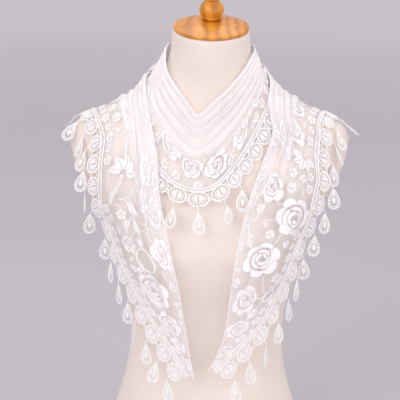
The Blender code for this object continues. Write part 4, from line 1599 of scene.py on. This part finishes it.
    def leaf(self, store: MeshStore, unit: int, wide: float, deep: float) -> None:
        """Adds the leaf in the middle of a fan, in two halves beside an open rib.

        Args:
            store: what the leaf is added to.
            unit: the repeat's number along the hem.
            wide: half the leaf's width.
            deep: half its length.
        """
        along = np.linspace(-1, 1, 6)
        half = np.cos(along * math.pi / 2) ** 0.7
        for side in (-1, 1):
            across = side * (0.14 + 0.86 * np.linspace(0, 1, 3)[None, :] * half[:, None])
            deeper = np.repeat(along[:, None], 3, axis=1)
            points, normals = self.fan_points(unit, (across * wide).ravel(), (deeper * deep).ravel())
            lift = normals * self.leaf_lift
            store.plate(
                (points + lift).reshape(6, 3, 3), (points - lift).reshape(6, 3, 3), np.ones((6, 3), bool)
            )

    def picots(self, store: MeshStore, unit: int, wide: float) -> None:
        """Adds small loops round the outer half of a fan, but none at its tip.

        Args:
            store: what the loops are added to.
            unit: the repeat's number along the hem.
            wide: half the fan's width.
        """
        around = np.linspace(-1, 1, 5)
        reach = 1.0 + self.loop_reach * np.cos(around * math.pi / 2)
        for loop in range(self.loops):
            angle = math.radians(2 * self.loop_spread * loop / (self.loops - 1) - self.loop_spread)
            if abs(angle) > self.tip_gap:
                turn = angle + around * self.loop_reach
                place = self.fan_points(
                    unit, reach * wide * np.sin(turn), reach * self.fan_deep * np.cos(turn)
                )
                store.cord(*place, self.picot, sides=4)

    def links_between(self, store: MeshStore, unit: int) -> None:
        """Adds two curved cords from a fan to the next.

        Args:
            store: what the cords are added to.
            unit: the first fan's number along the hem.
        """
        pitch = self.pitch(unit)
        wide = min(self.fan_wide, self.widest * pitch) / pitch
        share = np.linspace(0, 1, 7)
        begin, end = 0.5 + wide * self.link_start, 1.5 - wide * self.link_start
        marks = self.first + 2 * (unit + begin + (end - begin) * share)
        for depth, sag in self.link_depths:
            store.cord(*self.lay(marks, depth + sag * 4 * share * (1 - share)), self.fine, sides=4)


@dataclass
class DropDesign:
    """The flat teardrop that every pendant repeats."""

    material: Material
    cord: float = 0.00095
    fine: float = 0.00055
    pinch: float = 1.35
    widest: float = 0.80
    inner: float = 0.60
    inner_shift: float = 0.0028
    spokes: int = 17
    leaf_centre: float = 0.0178
    leaf_half: float = 0.0052
    leaf_width: float = 0.0021
    leaf_lift: float = 0.0006
    loop: float = 0.0011
    loop_cord: float = 0.0004
    facing: tuple[float, float, float] = (0.0, -1.0, 0.0)

    def outline(self, turn: np.ndarray, scale: float, shift: float) -> np.ndarray:
        """Draws a teardrop that hangs down from the origin.

        Args:
            turn: angles round its middle.
            scale: its size as a share of the whole drop's.
            shift: how far it is moved down.

        Returns:
            A point for each angle.
        """
        wide = np.sin(turn) * np.abs(np.sin(turn / 2)) ** self.pinch / self.widest
        half_length = DROP_LENGTH / 2
        x = wide * (DROP_WIDTH / 2 - self.cord) * scale
        z = -half_length - shift + np.cos(turn) * half_length * scale
        return np.stack([x, np.zeros_like(x), z], axis=1)

    def build(self) -> Object:
        """Makes the teardrop in its own frame: X across, -Z down, -Y facing.

        Returns:
            The design, which is taken out when every drop has been hung.
        """
        store = MeshStore()
        facing = np.array(self.facing)
        outer = self.outline(circle_angles(30), 1.0, 0.0)
        store.cord(outer, facing, self.cord, closed=True, sides=6)
        inner = self.outline(circle_angles(20), self.inner, self.inner_shift)
        store.cord(inner, facing, self.fine, closed=True, sides=4)
        for bar in range(self.spokes):
            angle = np.array([2 * math.pi * (bar + 0.5) / self.spokes])
            begin = self.outline(angle, self.inner, self.inner_shift)[0]
            path = np.linspace(begin, self.outline(angle, 0.99, 0.0)[0], 3)
            store.cord(path, facing, self.fine * 1.1, sides=4)
        self.leaf(store)
        self.picots(store, outer)
        return store.build("drop_design", self.material)

    def leaf(self, store: MeshStore) -> None:
        """Adds the small leaf in the middle.

        Args:
            store: what the leaf is added to.
        """
        along = np.linspace(-1, 1, 7)
        half = np.cos(along * math.pi / 2) ** 0.8 * self.leaf_width + 0.0002
        x = half[:, None] * np.linspace(-1, 1, 3)[None, :]
        z = np.repeat(-self.leaf_centre + along[:, None] * self.leaf_half, 3, axis=1)
        lifts = (-self.leaf_lift, self.leaf_lift)
        top, bottom = (np.stack([x, np.full_like(x, y), z], axis=2) for y in lifts)
        store.plate(top, bottom, np.ones(x.shape, bool))

    def picots(self, store: MeshStore, outer: np.ndarray) -> None:
        """Adds tiny loops round the lower edge.

        Args:
            store: what the loops are added to.
            outer: the points of the outer cord.
        """
        middle = np.array([0.0, 0.0, -DROP_LENGTH * 0.6])
        around = np.linspace(-1, 1, 4)[:, None]
        for here in outer[6:25:2]:
            away = unit_vectors(here - middle)
            along = np.cross(away, np.array([0.0, 1.0, 0.0]))
            path = here + along * around * self.loop + away * (1 - around**2) * self.loop
            store.cord(path, np.array(self.facing), self.loop_cord, sides=4)


@dataclass
class DropRow:
    """The drops of one edging, with their stems."""

    node: str
    design: Object
    material: Material
    stem: float = 0.0006
    slack: float = 0.0012
    hold: float = 0.001

    def build(self) -> tuple[Object, Object]:
        """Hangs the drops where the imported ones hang.

        Returns:
            The drops and their stems, as a piece each.
        """
        drops = find_drops(self.node)
        LOG.info("%s: %d drops found", self.node, len(drops))
        tree = RepeatTree("hang_drops")
        design = tree.ask("Drop", "NodeSocketObject", self.design)
        size = tree.ask("Size", "NodeSocketFloat", 1.0)
        finish = tree.ask("Finish", "NodeSocketMaterial", self.material)
        thing = tree.node("GeometryNodeObjectInfo", {"Object": design})
        turn = tree.node("GeometryNodeInputNamedAttribute", {"Name": "turn"}, data_type="FLOAT_VECTOR")
        place = tree.node("GeometryNodeInstanceOnPoints", {
            "Points": tree.seed, "Instance": thing.outputs["Geometry"],
            "Rotation": turn.outputs["Attribute"], "Scale": size,
        })
        tree.finish(place.outputs[0], finish)
        seeds = bpy.data.meshes.new("drop_tops")
        seeds.from_pydata([tuple(d.top) for d in drops], [], [])
        turned = seeds.attributes.new("turn", "FLOAT_VECTOR", "POINT")
        for item, drop in zip(turned.data, drops):
            side = np.cross(drop.facing, drop.down)
            matrix = Matrix([[side[i], -drop.facing[i], -drop.down[i]] for i in range(3)])
            item.vector = matrix.to_euler()
        piece = tree.grow(self.node.replace("edging", "drops"), seeds)
        return piece, self.stems(drops)

    def stems(self, drops: Sequence[HangingDrop]) -> Object:
        """Makes a short slack cord from each fan's tip to its drop.

        Args:
            drops: the drops.

        Returns:
            All the stems as one piece.
        """
        store = MeshStore()
        share = np.linspace(0, 1, 6)[:, None]
        for drop in drops:
            path = drop.tip * (1 - share) + (drop.top + drop.down * self.hold) * share
            path = path + drop.facing * (4 * share * (1 - share) * self.slack)
            store.cord(path, drop.facing, self.stem, sides=5, flatness=1.0)
        return store.build(self.node.replace("edging", "stems"), self.material)


@dataclass
class PlainHem:
    """The rolled hem of the plain edge."""

    strip: Strip
    material: Material
    radius: float = 0.0009
    sides: int = 6

    def build(self) -> Object:
        """Sweeps the roll along the edge by a node tree.

        Returns:
            The hem.
        """
        tree = RepeatTree("roll_hem")
        radius = tree.ask("Radius", "NodeSocketFloat", self.radius)
        finish = tree.ask("Finish", "NodeSocketMaterial", self.material)
        curve = tree.node("GeometryNodeMeshToCurve", {0: tree.seed})
        ring = tree.node("GeometryNodeCurvePrimitiveCircle", {"Resolution": self.sides, "Radius": radius})
        sweep = tree.node("GeometryNodeCurveToMesh", {
            "Curve": curve.outputs[0], "Profile Curve": ring.outputs[0], "Fill Caps": True,
        })
        tree.finish(sweep.outputs[0], finish)
        piece = tree.grow(f"rolled_hem_{self.strip.name}", line_mesh(self.strip.points[:, 0]))
        piece.data.shade_smooth()
        return piece


@dataclass
class Whipping:
    """The slanting stitches that sew the edging to the net."""

    strip: Strip
    material: Material
    spacing: float = 0.0034
    length: float = 0.0030
    radius: float = 0.00032
    slant: float = 0.6
    lift: float = 0.0007
    sides: int = 5

    def build(self) -> Object:
        """Sets a stitch at even spaces along the hem by a node tree.

        Returns:
            The stitches.
        """
        strip = self.strip
        low, high = (row * strip.row_steps for row in strip.trimmed)
        line = strip.points[low : high + 1, -1] + strip.normals[low : high + 1, -1] * self.lift
        tree = RepeatTree("whip_stitches")
        spacing = tree.ask("Spacing", "NodeSocketFloat", self.spacing)
        length = tree.ask("Length", "NodeSocketFloat", self.length)
        radius = tree.ask("Radius", "NodeSocketFloat", self.radius)
        slant = tree.ask("Slant", "NodeSocketFloat", self.slant)
        finish = tree.ask("Finish", "NodeSocketMaterial", self.material)
        curve = tree.node("GeometryNodeMeshToCurve", {0: tree.seed})
        points = tree.node(
            "GeometryNodeCurveToPoints", {0: curve.outputs[0], "Length": spacing}, mode="LENGTH"
        )
        stitch = tree.node(
            "GeometryNodeMeshCylinder", {"Vertices": self.sides, "Depth": length, "Radius": radius},
            fill_type="NGON",
        )
        place = tree.node("GeometryNodeInstanceOnPoints", {
            "Points": points.outputs["Points"], "Rotation": points.outputs["Rotation"],
            "Instance": stitch.outputs["Mesh"],
        })
        angle = tree.node("ShaderNodeCombineXYZ", {"X": slant})
        lean = tree.node("GeometryNodeRotateInstances", {
            "Instances": place.outputs[0], "Rotation": angle.outputs[0],
        })
        tree.finish(lean.outputs[0], finish)
        piece = tree.grow(f"whip_stitches_{strip.name}", line_mesh(line))
        piece.data.shade_smooth()
        return piece


class Kind(Enum):
    """The motifs woven into the net."""

    ROSE = "rose"
    LILY = "lily"
    LEAF = "leaf"
    SPRIG = "sprig"
    RING = "ring"
    BLOSSOM = "blossom"


class Motif(NamedTuple):
    """A motif: its station, share of the width, radius in mm and turn in degrees."""

    kind: Kind
    place: float
    share: float
    radius: float
    turn: float


class Laid(NamedTuple):
    """A circle that a motif takes up, by the strip's fine rows and columns."""

    row: float
    column: float
    radius: float


class Thread(NamedTuple):
    """A flat cord of a motif: its path, its radius and whether it closes."""

    path: np.ndarray
    radius: float
    closed: bool


# A motif's petals, as grids of flat points, and its threads
Drawing = tuple[list[np.ndarray], list[Thread]]


BIB_MOTIFS = (
    Motif(Kind.ROSE, 4.65, 0.64, 25, 20), Motif(Kind.ROSE, 7.45, 0.79, 24, 200),
    Motif(Kind.ROSE, 6.05, 0.72, 19, 80), Motif(Kind.ROSE, 8.85, 0.76, 21, 140),
    Motif(Kind.ROSE, 10.2, 0.66, 17, 300),
)
LEFT_MOTIFS = (
    Motif(Kind.LILY, 10.2, 0.60, 27, 15), Motif(Kind.LEAF, 11.0, 0.76, 12, 20),
    Motif(Kind.LEAF, 11.45, 0.44, 13, -25), Motif(Kind.LEAF, 12.1, 0.56, 10, 30),
    Motif(Kind.LEAF, 12.15, 0.42, 10, -20), Motif(Kind.RING, 13.3, 0.41, 17, 0),
    Motif(Kind.ROSE, 14.6, 0.46, 31, 40), Motif(Kind.ROSE, 12.85, 0.12, 30, 110),
    Motif(Kind.ROSE, 16.0, 0.42, 20, 250), Motif(Kind.BLOSSOM, 17.1, 0.42, 12, 0),
    Motif(Kind.ROSE, 7.7, 0.48, 22, 160), Motif(Kind.ROSE, 10.3, 0.20, 27, 60),
)
RIGHT_MOTIFS = (
    Motif(Kind.ROSE, 14.6, 0.40, 31, 75), Motif(Kind.ROSE, 15.97, 0.30, 24, 190),
    Motif(Kind.ROSE, 12.9, 0.70, 32, 300), Motif(Kind.ROSE, 11.9, 0.28, 24, 20),
    Motif(Kind.ROSE, 9.4, 0.52, 22, 240), Motif(Kind.LILY, 10.4, 0.74, 20, 160),
    Motif(Kind.ROSE, 17.1, 0.36, 18, 100), Motif(Kind.ROSE, 18.5, 0.45, 12, 10),
    Motif(Kind.SPRIG, 13.6, 0.12, 17, 10), Motif(Kind.RING, 16.0, 0.80, 9, 0),
)


@dataclass
class MotifPen:
    """Draws motifs flat, as petals with open lines between them."""

    gap: float = 0.0010
    stem: float = 0.0007
    uneven: float = 0.22
    seed: int = 5

    def __post_init__(self) -> None:
        """Starts the fixed run of chances."""
        self.chance = random.Random(self.seed)

    def draw(self, kind: Kind, radius: float) -> Drawing:
        """Draws a motif round the origin.

        Args:
            kind: which motif.
            radius: its radius in metres.

        Returns:
            Its petals, as grids of flat points, and its threads.
        """
        drawings = {
            Kind.ROSE: self.rose, Kind.LILY: self.lily, Kind.LEAF: self.leaf,
            Kind.SPRIG: self.sprig, Kind.RING: self.ring, Kind.BLOSSOM: self.blossom,
        }
        return drawings[kind](radius)

    @staticmethod
    def polar(angles: np.ndarray | float, radii: np.ndarray | float) -> np.ndarray:
        """Flat points from angles and radii."""
        return np.stack([np.cos(angles) * radii, np.sin(angles) * radii], axis=-1)

    def lobes(self, count: int, inner: float, outer: float, swirl: float, steps: int = 9) -> list[np.ndarray]:
        """A ring of rounded petals, a little uneven in width and length.

        Args:
            count: how many petals.
            inner: the radius where they begin.
            outer: the radius where they end.
            swirl: how far they lean round, in radians.
            steps: how many points wide each is.

        Returns:
            The petals.
        """
        widths = [1 + self.uneven * self.chance.uniform(-1, 1) for _ in range(count)]
        ends = np.cumsum([0.0] + widths) * 2 * math.pi / sum(widths)
        petals = []
        for start, end in zip(ends, ends[1:]):
            u = np.linspace(-1, 1, steps)[:, None]
            reach = outer * (1 - 0.17 * np.abs(u) ** 2.6) * (1 - self.uneven * self.chance.random() / 2)
            share = np.linspace(0, 1, 4)[None, :]
            radii = inner + (reach - inner) * share
            half = (end - start) / 2 - self.gap / 2 / np.maximum(radii, self.gap)
            petals.append(self.polar((start + end) / 2 + u * half + swirl * share, radii))
        return petals

    def spiral(self, inner: float, outer: float, turns: float, sweep: float) -> list[np.ndarray]:
        """Curled petals that follow each other round a spiral.

        Args:
            inner: the radius where it begins.
            outer: the radius where it ends.
            turns: how often it goes round.
            sweep: a petal's length, in radians.

        Returns:
            The petals.
        """
        petals, start, number = [], 0.0, 0
        whole = turns * 2 * math.pi
        half_band = max((outer - inner) / turns - self.gap, self.gap) / 2
        while start < whole:
            length = min(sweep * (0.85 + 0.3 * (number % 3) / 2), whole - start)
            middle = inner + (outer - inner) * (start + length / 2) / whole
            u = np.linspace(-1, 1, 9)[:, None]
            span = length / 2 - self.gap / 2 / middle
            angles = start + length / 2 + u * span
            half = half_band * np.maximum((1 - np.abs(u) ** 5) ** 0.5, 0.22)
            line = inner + (outer - inner) * angles / whole
            radii = line + half * np.linspace(-1, 1, 3)[None, :]
            petals.append(self.polar(np.repeat(angles, 3, axis=1), radii))
            start += length
            number += 1
        return petals

    def blade(self, base: tuple[float, float], angle: float, length: float, width: float) -> list[np.ndarray]:
        """A pointed leaf in two halves beside an open rib.

        Args:
            base: where the leaf begins.
            angle: where it points, in radians.
            length: its length.
            width: its width.

        Returns:
            Its two halves.
        """
        halves = []
        u = np.linspace(0, 1, 9)[:, None]
        profile = np.sin(math.pi * u**0.8) ** 0.8
        for side in (-1, 1):
            across = side * (self.gap / 2 + (width / 2 - self.gap / 2) * profile * np.linspace(0, 1, 3))
            across = across + 0.10 * length * np.sin(math.pi * u)
            along = np.repeat(u * length, 3, axis=1)
            x = base[0] + along * math.cos(angle) - across * math.sin(angle)
            y = base[1] + along * math.sin(angle) + across * math.cos(angle)
            halves.append(np.stack([x, y], axis=-1))
        return halves

    def rose(self, radius: float) -> Drawing:
        """An open rose: broad outer petals round curled inner ones.

        Args:
            radius: its radius in metres.

        Returns:
            The drawing.
        """
        petals = self.lobes(6, 0.60 * radius + self.gap, radius, 0.16)
        turns = 2.2 if radius > 0.016 else 1.3
        petals += self.spiral(0.14 * radius, 0.57 * radius, turns, 2.3)
        squash = self.chance.uniform(0.80, 0.96)
        heart = self.polar(self.chance.uniform(0, 2 * math.pi), 0.16 * radius)
        bent = []
        for petal in petals:
            inwards = 1 - np.sum(petal**2, axis=-1, keepdims=True) / radius**2
            bent.append((petal + heart * np.clip(inwards, 0, 1)) * np.array([1.0, squash]))
        return bent, []

    def lily(self, radius: float) -> Drawing:
        """A flower seen from the side, with pointed petals.

        Args:
            radius: its radius in metres.

        Returns:
            The drawing.
        """
        petals = []
        for turn in (-84, -40, 0, 42, 86):
            angle = math.radians(180 + turn)
            base = (0.14 * radius * math.cos(angle), 0.14 * radius * math.sin(angle))
            petals += self.blade(base, angle, 0.86 * radius, 0.46 * radius)
        petals += self.blade((0.10 * radius, 0.0), 0.0, 0.3 * radius, 0.22 * radius)
        stem = np.stack([np.linspace(0.4, 1.15, 7) * radius, np.linspace(0, 0.35, 7) ** 2 * radius], axis=1)
        return petals, [Thread(stem, self.stem, False)]

    def leaf(self, radius: float) -> Drawing:
        """One leaf on a short stalk.

        Args:
            radius: its radius in metres.

        Returns:
            The drawing.
        """
        stalk = np.array([[-1.5, 0.12], [-1.25, 0.03], [-1.0, 0.0]]) * radius
        return self.blade((-radius, 0.0), 0.0, 2 * radius, 0.8 * radius), [Thread(stalk, self.stem, False)]

    def sprig(self, radius: float) -> Drawing:
        """A curved stem with small leaves on both sides.

        Args:
            radius: its radius in metres.

        Returns:
            The drawing.
        """
        u = np.linspace(-1, 1, 9)
        stem = np.stack([u * radius, 0.22 * radius * np.sin(u * 2.2)], axis=1)
        petals = []
        for number in range(5):
            here = stem[1 + number + number // 2]
            side = 1 if number % 2 else -1
            base = (here[0], here[1] + side * 0.04 * radius)
            petals += self.blade(base, side * 0.95, 0.52 * radius, 0.24 * radius)
        petals += self.blade(tuple(stem[-1]), 0.0, 0.42 * radius, 0.26 * radius)
        return petals, [Thread(stem, self.stem, False)]

    def ring(self, radius: float) -> Drawing:
        """A curl of vine that closes on itself, with two leaves and a bud.

        Args:
            radius: its radius in metres.

        Returns:
            The drawing.
        """
        turn = circle_angles(24)
        circle = np.stack([np.cos(turn), np.sin(turn)], axis=1) * radius
        petals = self.blade((0.9 * radius, 0.65 * radius), 0.9, 0.9 * radius, 0.45 * radius)
        petals += self.blade((-1.05 * radius, 0.2 * radius), 2.9, 0.9 * radius, 0.45 * radius)
        return petals, [Thread(circle, 2.0 * self.stem, True)]

    def blossom(self, radius: float) -> Drawing:
        """A small flower with five petals.

        Args:
            radius: its radius in metres.

        Returns:
            The drawing.
        """
        petals = self.lobes(5, 0.34 * radius, radius, 0.0, 7)
        petals += self.lobes(1, 0.02 * radius, 0.25 * radius, 0.0, 9)
        return petals, []


@dataclass
class Flowers:
    """The woven motifs of one stretch of the shawl, raised on its net."""

    strip: Strip
    motifs: tuple[Motif, ...]
    material: Material
    seed: int
    most_layers: float
    pen: MotifPen = field(default_factory=MotifPen)
    bottom: float = 0.0002
    top: float = 0.0006
    dome: float = 0.0003
    border: float = 0.0085
    border_gap: float = 0.0055
    parting_radius: float = 0.0085
    closeness: float = 0.96
    vine_reach: float = 0.075
    vine_bow: float = 0.15
    vine_points: int = 10

    def __post_init__(self) -> None:
        """Starts with no motif laid, and keeps the partings free."""
        self.store = MeshStore()
        self.laid: list[Laid] = []
        self.chance = random.Random(self.seed)
        for parting in self.strip.partings:
            middle = (parting.begin + parting.finish) / 2
            share = (parting.across_begin + parting.across_finish) / 2
            self.laid.append(self.spot(middle, share, self.parting_radius))

    def build(self) -> Object:
        """Lays the listed motifs, the border and the filling.

        Returns:
            The finished piece.
        """
        for motif in self.motifs:
            self.lay(motif)
        self.lay_border()
        # The filling, by smallest and largest radius in mm and number of tries
        for kind, small, large, tries in (
            (Kind.ROSE, 20, 29, 900), (Kind.ROSE, 13, 18, 700), (Kind.SPRIG, 11, 15, 600),
            (Kind.BLOSSOM, 6, 9, 500), (Kind.LEAF, 5.5, 8, 700),
        ):
            for _ in range(tries):
                self.try_one(kind, self.chance.uniform(small, large))
        self.vines()
        return self.store.build(f"woven_flowers_{self.strip.name}", self.material)

    def spot(self, place: float, share: float, radius: float) -> Laid:
        """A circle on the cloth, by station, share of the width and radius."""
        return Laid(self.strip.row_at(place), self.strip.column_at(share), radius)

    def distance(self, here: Laid, there: Laid) -> float:
        """How far apart two circles' centres are on the opened-out cloth.

        Args:
            here: a circle.
            there: another circle.

        Returns:
            The length of cloth between their centres.
        """
        row = int((here.row + there.row) / 2)
        column = int((here.column + there.column) / 2)
        along = self.strip.along[:, column]
        cloth = self.strip.cloth[row]
        return math.hypot(
            along[int(there.row)] - along[int(here.row)], cloth[int(there.column)] - cloth[int(here.column)]
        )

    def is_free(self, spot: Laid) -> bool:
        """Whether a circle on the cloth clears every motif laid so far."""
        close = self.closeness
        return all(self.distance(spot, other) > (spot.radius + other.radius) * close for other in self.laid)

    def try_one(self, kind: Kind, radius: float) -> None:
        """Lays a motif at a chance place, if that is free.

        Args:
            kind: which motif.
            radius: its radius in mm.
        """
        strip = self.strip
        place = self.chance.uniform(strip.places[0], strip.places[-1])
        share = self.chance.uniform(0.02, 0.98)
        turn = self.chance.uniform(0, 360)
        spot = self.spot(place, share, radius / 1000)
        cloth = strip.cloth[int(spot.row)]
        inner, width = cloth[int(spot.column)], cloth[-1]
        if strip.layers[int(spot.row), int(spot.column)] > self.most_layers:
            return
        if min(inner, width - inner) > 0.6 * spot.radius and self.is_free(spot):
            self.lay(Motif(kind, place, share, radius, turn))

    def lay_border(self) -> None:
        """Sets a small flower beside each fan of the edging."""
        strip = self.strip
        first, last = strip.trimmed
        for mark in range(first, last + 1):
            place = float(strip.coarse_places[mark])
            cloth = strip.cloth[int(round(strip.row_at(place)))]
            if cloth[-1] < 3 * self.border:
                continue
            share = float(np.interp(cloth[-1] - self.border, cloth, strip.shares))
            if self.is_free(self.spot(place, share, self.border_gap)):
                radius = 7.5 if mark % 2 else 6.0
                self.lay(Motif(Kind.BLOSSOM, place, share, radius, 40.0 * mark))

    def lay(self, motif: Motif) -> None:
        """Lays one motif on the net.

        Args:
            motif: what is laid, and where.
        """
        radius = motif.radius / 1000
        petals, threads = self.pen.draw(motif.kind, radius)
        turn = math.radians(motif.turn)
        spin = np.array([[math.cos(turn), math.sin(turn)], [-math.sin(turn), math.cos(turn)]])
        flat = np.concatenate([p.reshape(-1, 2) for p in petals] + [t.path for t in threads])
        points, normals, inside = self.strip.drape(flat @ spin, motif.place, motif.share)
        start = 0
        for petal in petals:
            shape = petal.shape[:2]
            end = start + shape[0] * shape[1]
            self.petal(points[start:end], normals[start:end], inside[start:end], shape)
            start = end
        for thread in threads:
            end = start + len(thread.path)
            if inside[start:end].all():
                path = points[start:end] + normals[start:end] * self.top * 0.7
                self.store.cord(path, normals[start:end], thread.radius, thread.closed, 6, 0.5)
            start = end
        self.laid.append(self.spot(motif.place, motif.share, radius))

    def petal(
        self, points: np.ndarray, normals: np.ndarray, inside: np.ndarray, shape: tuple[int, int]
    ) -> None:
        """Adds one petal, a little higher in its middle.

        Args:
            points: its points on the net.
            normals: the net's normals there.
            inside: whether each point lies on the cloth.
            shape: its rows and columns of points.
        """
        rows = 1 - np.linspace(-1, 1, shape[0]) ** 2
        columns = 1 - np.linspace(-1, 1, shape[1]) ** 2
        height = self.top + self.dome * np.outer(rows, columns).reshape(-1, 1)
        top = (points + normals * height).reshape(*shape, 3)
        bottom = (points + normals * self.bottom).reshape(*shape, 3)
        self.store.plate(top, bottom, inside.reshape(shape))

    def vines(self) -> None:
        """Joins each larger motif to its nearest neighbours by curved stems."""
        large = [item for item in self.laid if item.radius > self.parting_radius]
        joined: set[tuple[int, int]] = set()
        for index, here in enumerate(large):
            gaps = [self.distance(here, other) for other in large]
            for near in np.argsort(gaps)[1:4]:
                pair = (min(index, int(near)), max(index, int(near)))
                if pair not in joined and gaps[near] < self.vine_reach:
                    joined.add(pair)
                    self.vine(large[pair[0]], large[pair[1]], gaps[near])

    def vine(self, here: Laid, there: Laid, gap: float) -> None:
        """A curved stem from the rim of a motif to the rim of another.

        Args:
            here: the first motif's circle.
            there: the second motif's circle.
            gap: the distance between their centres.
        """
        low, high = 0.8 * here.radius / gap, 1 - 0.8 * there.radius / gap
        if high - low < 0.05:
            return
        share = np.linspace(low, high, self.vine_points)
        bend = math.pi * (share - low) / (high - low)
        bow = self.chance.uniform(-self.vine_bow, self.vine_bow) * np.sin(bend)
        down, beside = there.row - here.row, there.column - here.column
        rows = here.row + down * share - beside * bow
        columns = here.column + beside * share + down * bow
        strip = self.strip
        if columns.min() < 1 or columns.max() > len(strip.shares) - 2:
            return
        if rows.min() < 1 or rows.max() > len(strip.places) - 2:
            return
        normals = unit_vectors(strip.blend_cells(strip.normals, rows, columns))
        path = strip.blend_cells(strip.points, rows, columns) + normals * self.top * 0.6
        self.store.cord(path, normals, self.pen.stem * 0.85, False, 6, 0.5)


@dataclass
class Shawl:
    """The three strips of the shawl."""

    surface: HangSurface = field(default_factory=HangSurface)

    def __post_init__(self) -> None:
        """Reads the strips in the order in which they lie."""
        self.bib = Strip(
            "bib", self.surface, ("front_bib",), BIB, BIB_SPANS, BIB_COLUMNS, BIB_CREASES, BIB_GATHERS
        )
        self.left = Strip(
            "left", self.surface, ("back_wrap_under", "left_tail"), LEFT_STRIP, LEFT_SPANS,
            LEFT_COLUMNS, LEFT_CREASES, LEFT_GATHERS, LEFT_PARTINGS, lead=(self.bib, -1),
        )
        self.right = Strip(
            "right", self.surface, ("back_wrap_over", "right_tail"), RIGHT_STRIP, RIGHT_SPANS,
            RIGHT_COLUMNS, RIGHT_CREASES, RIGHT_GATHERS, RIGHT_PARTINGS, lead=(self.bib, 0),
        )


def main() -> None:
    """Builds the pieces in order."""
    logging.basicConfig(level=logging.INFO, format="%(message)s")
    finishes = Finishes()
    Stage(finishes).build()
    FormBody(finishes).build()
    shawl = Shawl()
    for strip, node, first, last in (
        (shawl.bib, "front_bib", 0, len(BIB) - 1),
        (shawl.left, "back_wrap_under", 0, LEFT_RIDGE_STATION),
        (shawl.left, "left_tail", LEFT_RIDGE_STATION, len(LEFT_STRIP) - 1),
        (shawl.right, "back_wrap_over", 0, RIGHT_RIDGE_STATION),
        (shawl.right, "right_tail", RIGHT_RIDGE_STATION, len(RIGHT_STRIP) - 1),
    ):
        NetPanel(strip, node, first, last, finishes.net).build()
    design = DropDesign(finishes.guipure).build()
    for seed, (strip, node, motifs, most) in enumerate((
        (shawl.bib, "bib_edging", BIB_MOTIFS, 2.6), (shawl.left, "left_edging", LEFT_MOTIFS, 3.1),
        (shawl.right, "right_edging", RIGHT_MOTIFS, 3.1),
    )):
        declare(Flowers(strip, motifs, finishes.flowers, seed + 11, most).build(), Slot.NET)
        declare(EdgingLace(strip, node, finishes.guipure).build(), Slot.GUIPURE, node)
        for piece in DropRow(node, design, finishes.guipure).build():
            declare(piece, Slot.GUIPURE)
        declare(PlainHem(strip, finishes.flowers).build(), Slot.NET)
        declare(Whipping(strip, finishes.flowers).build(), Slot.NET)
    bpy.data.objects.remove(design)


if __name__ == "__main__":
    main()
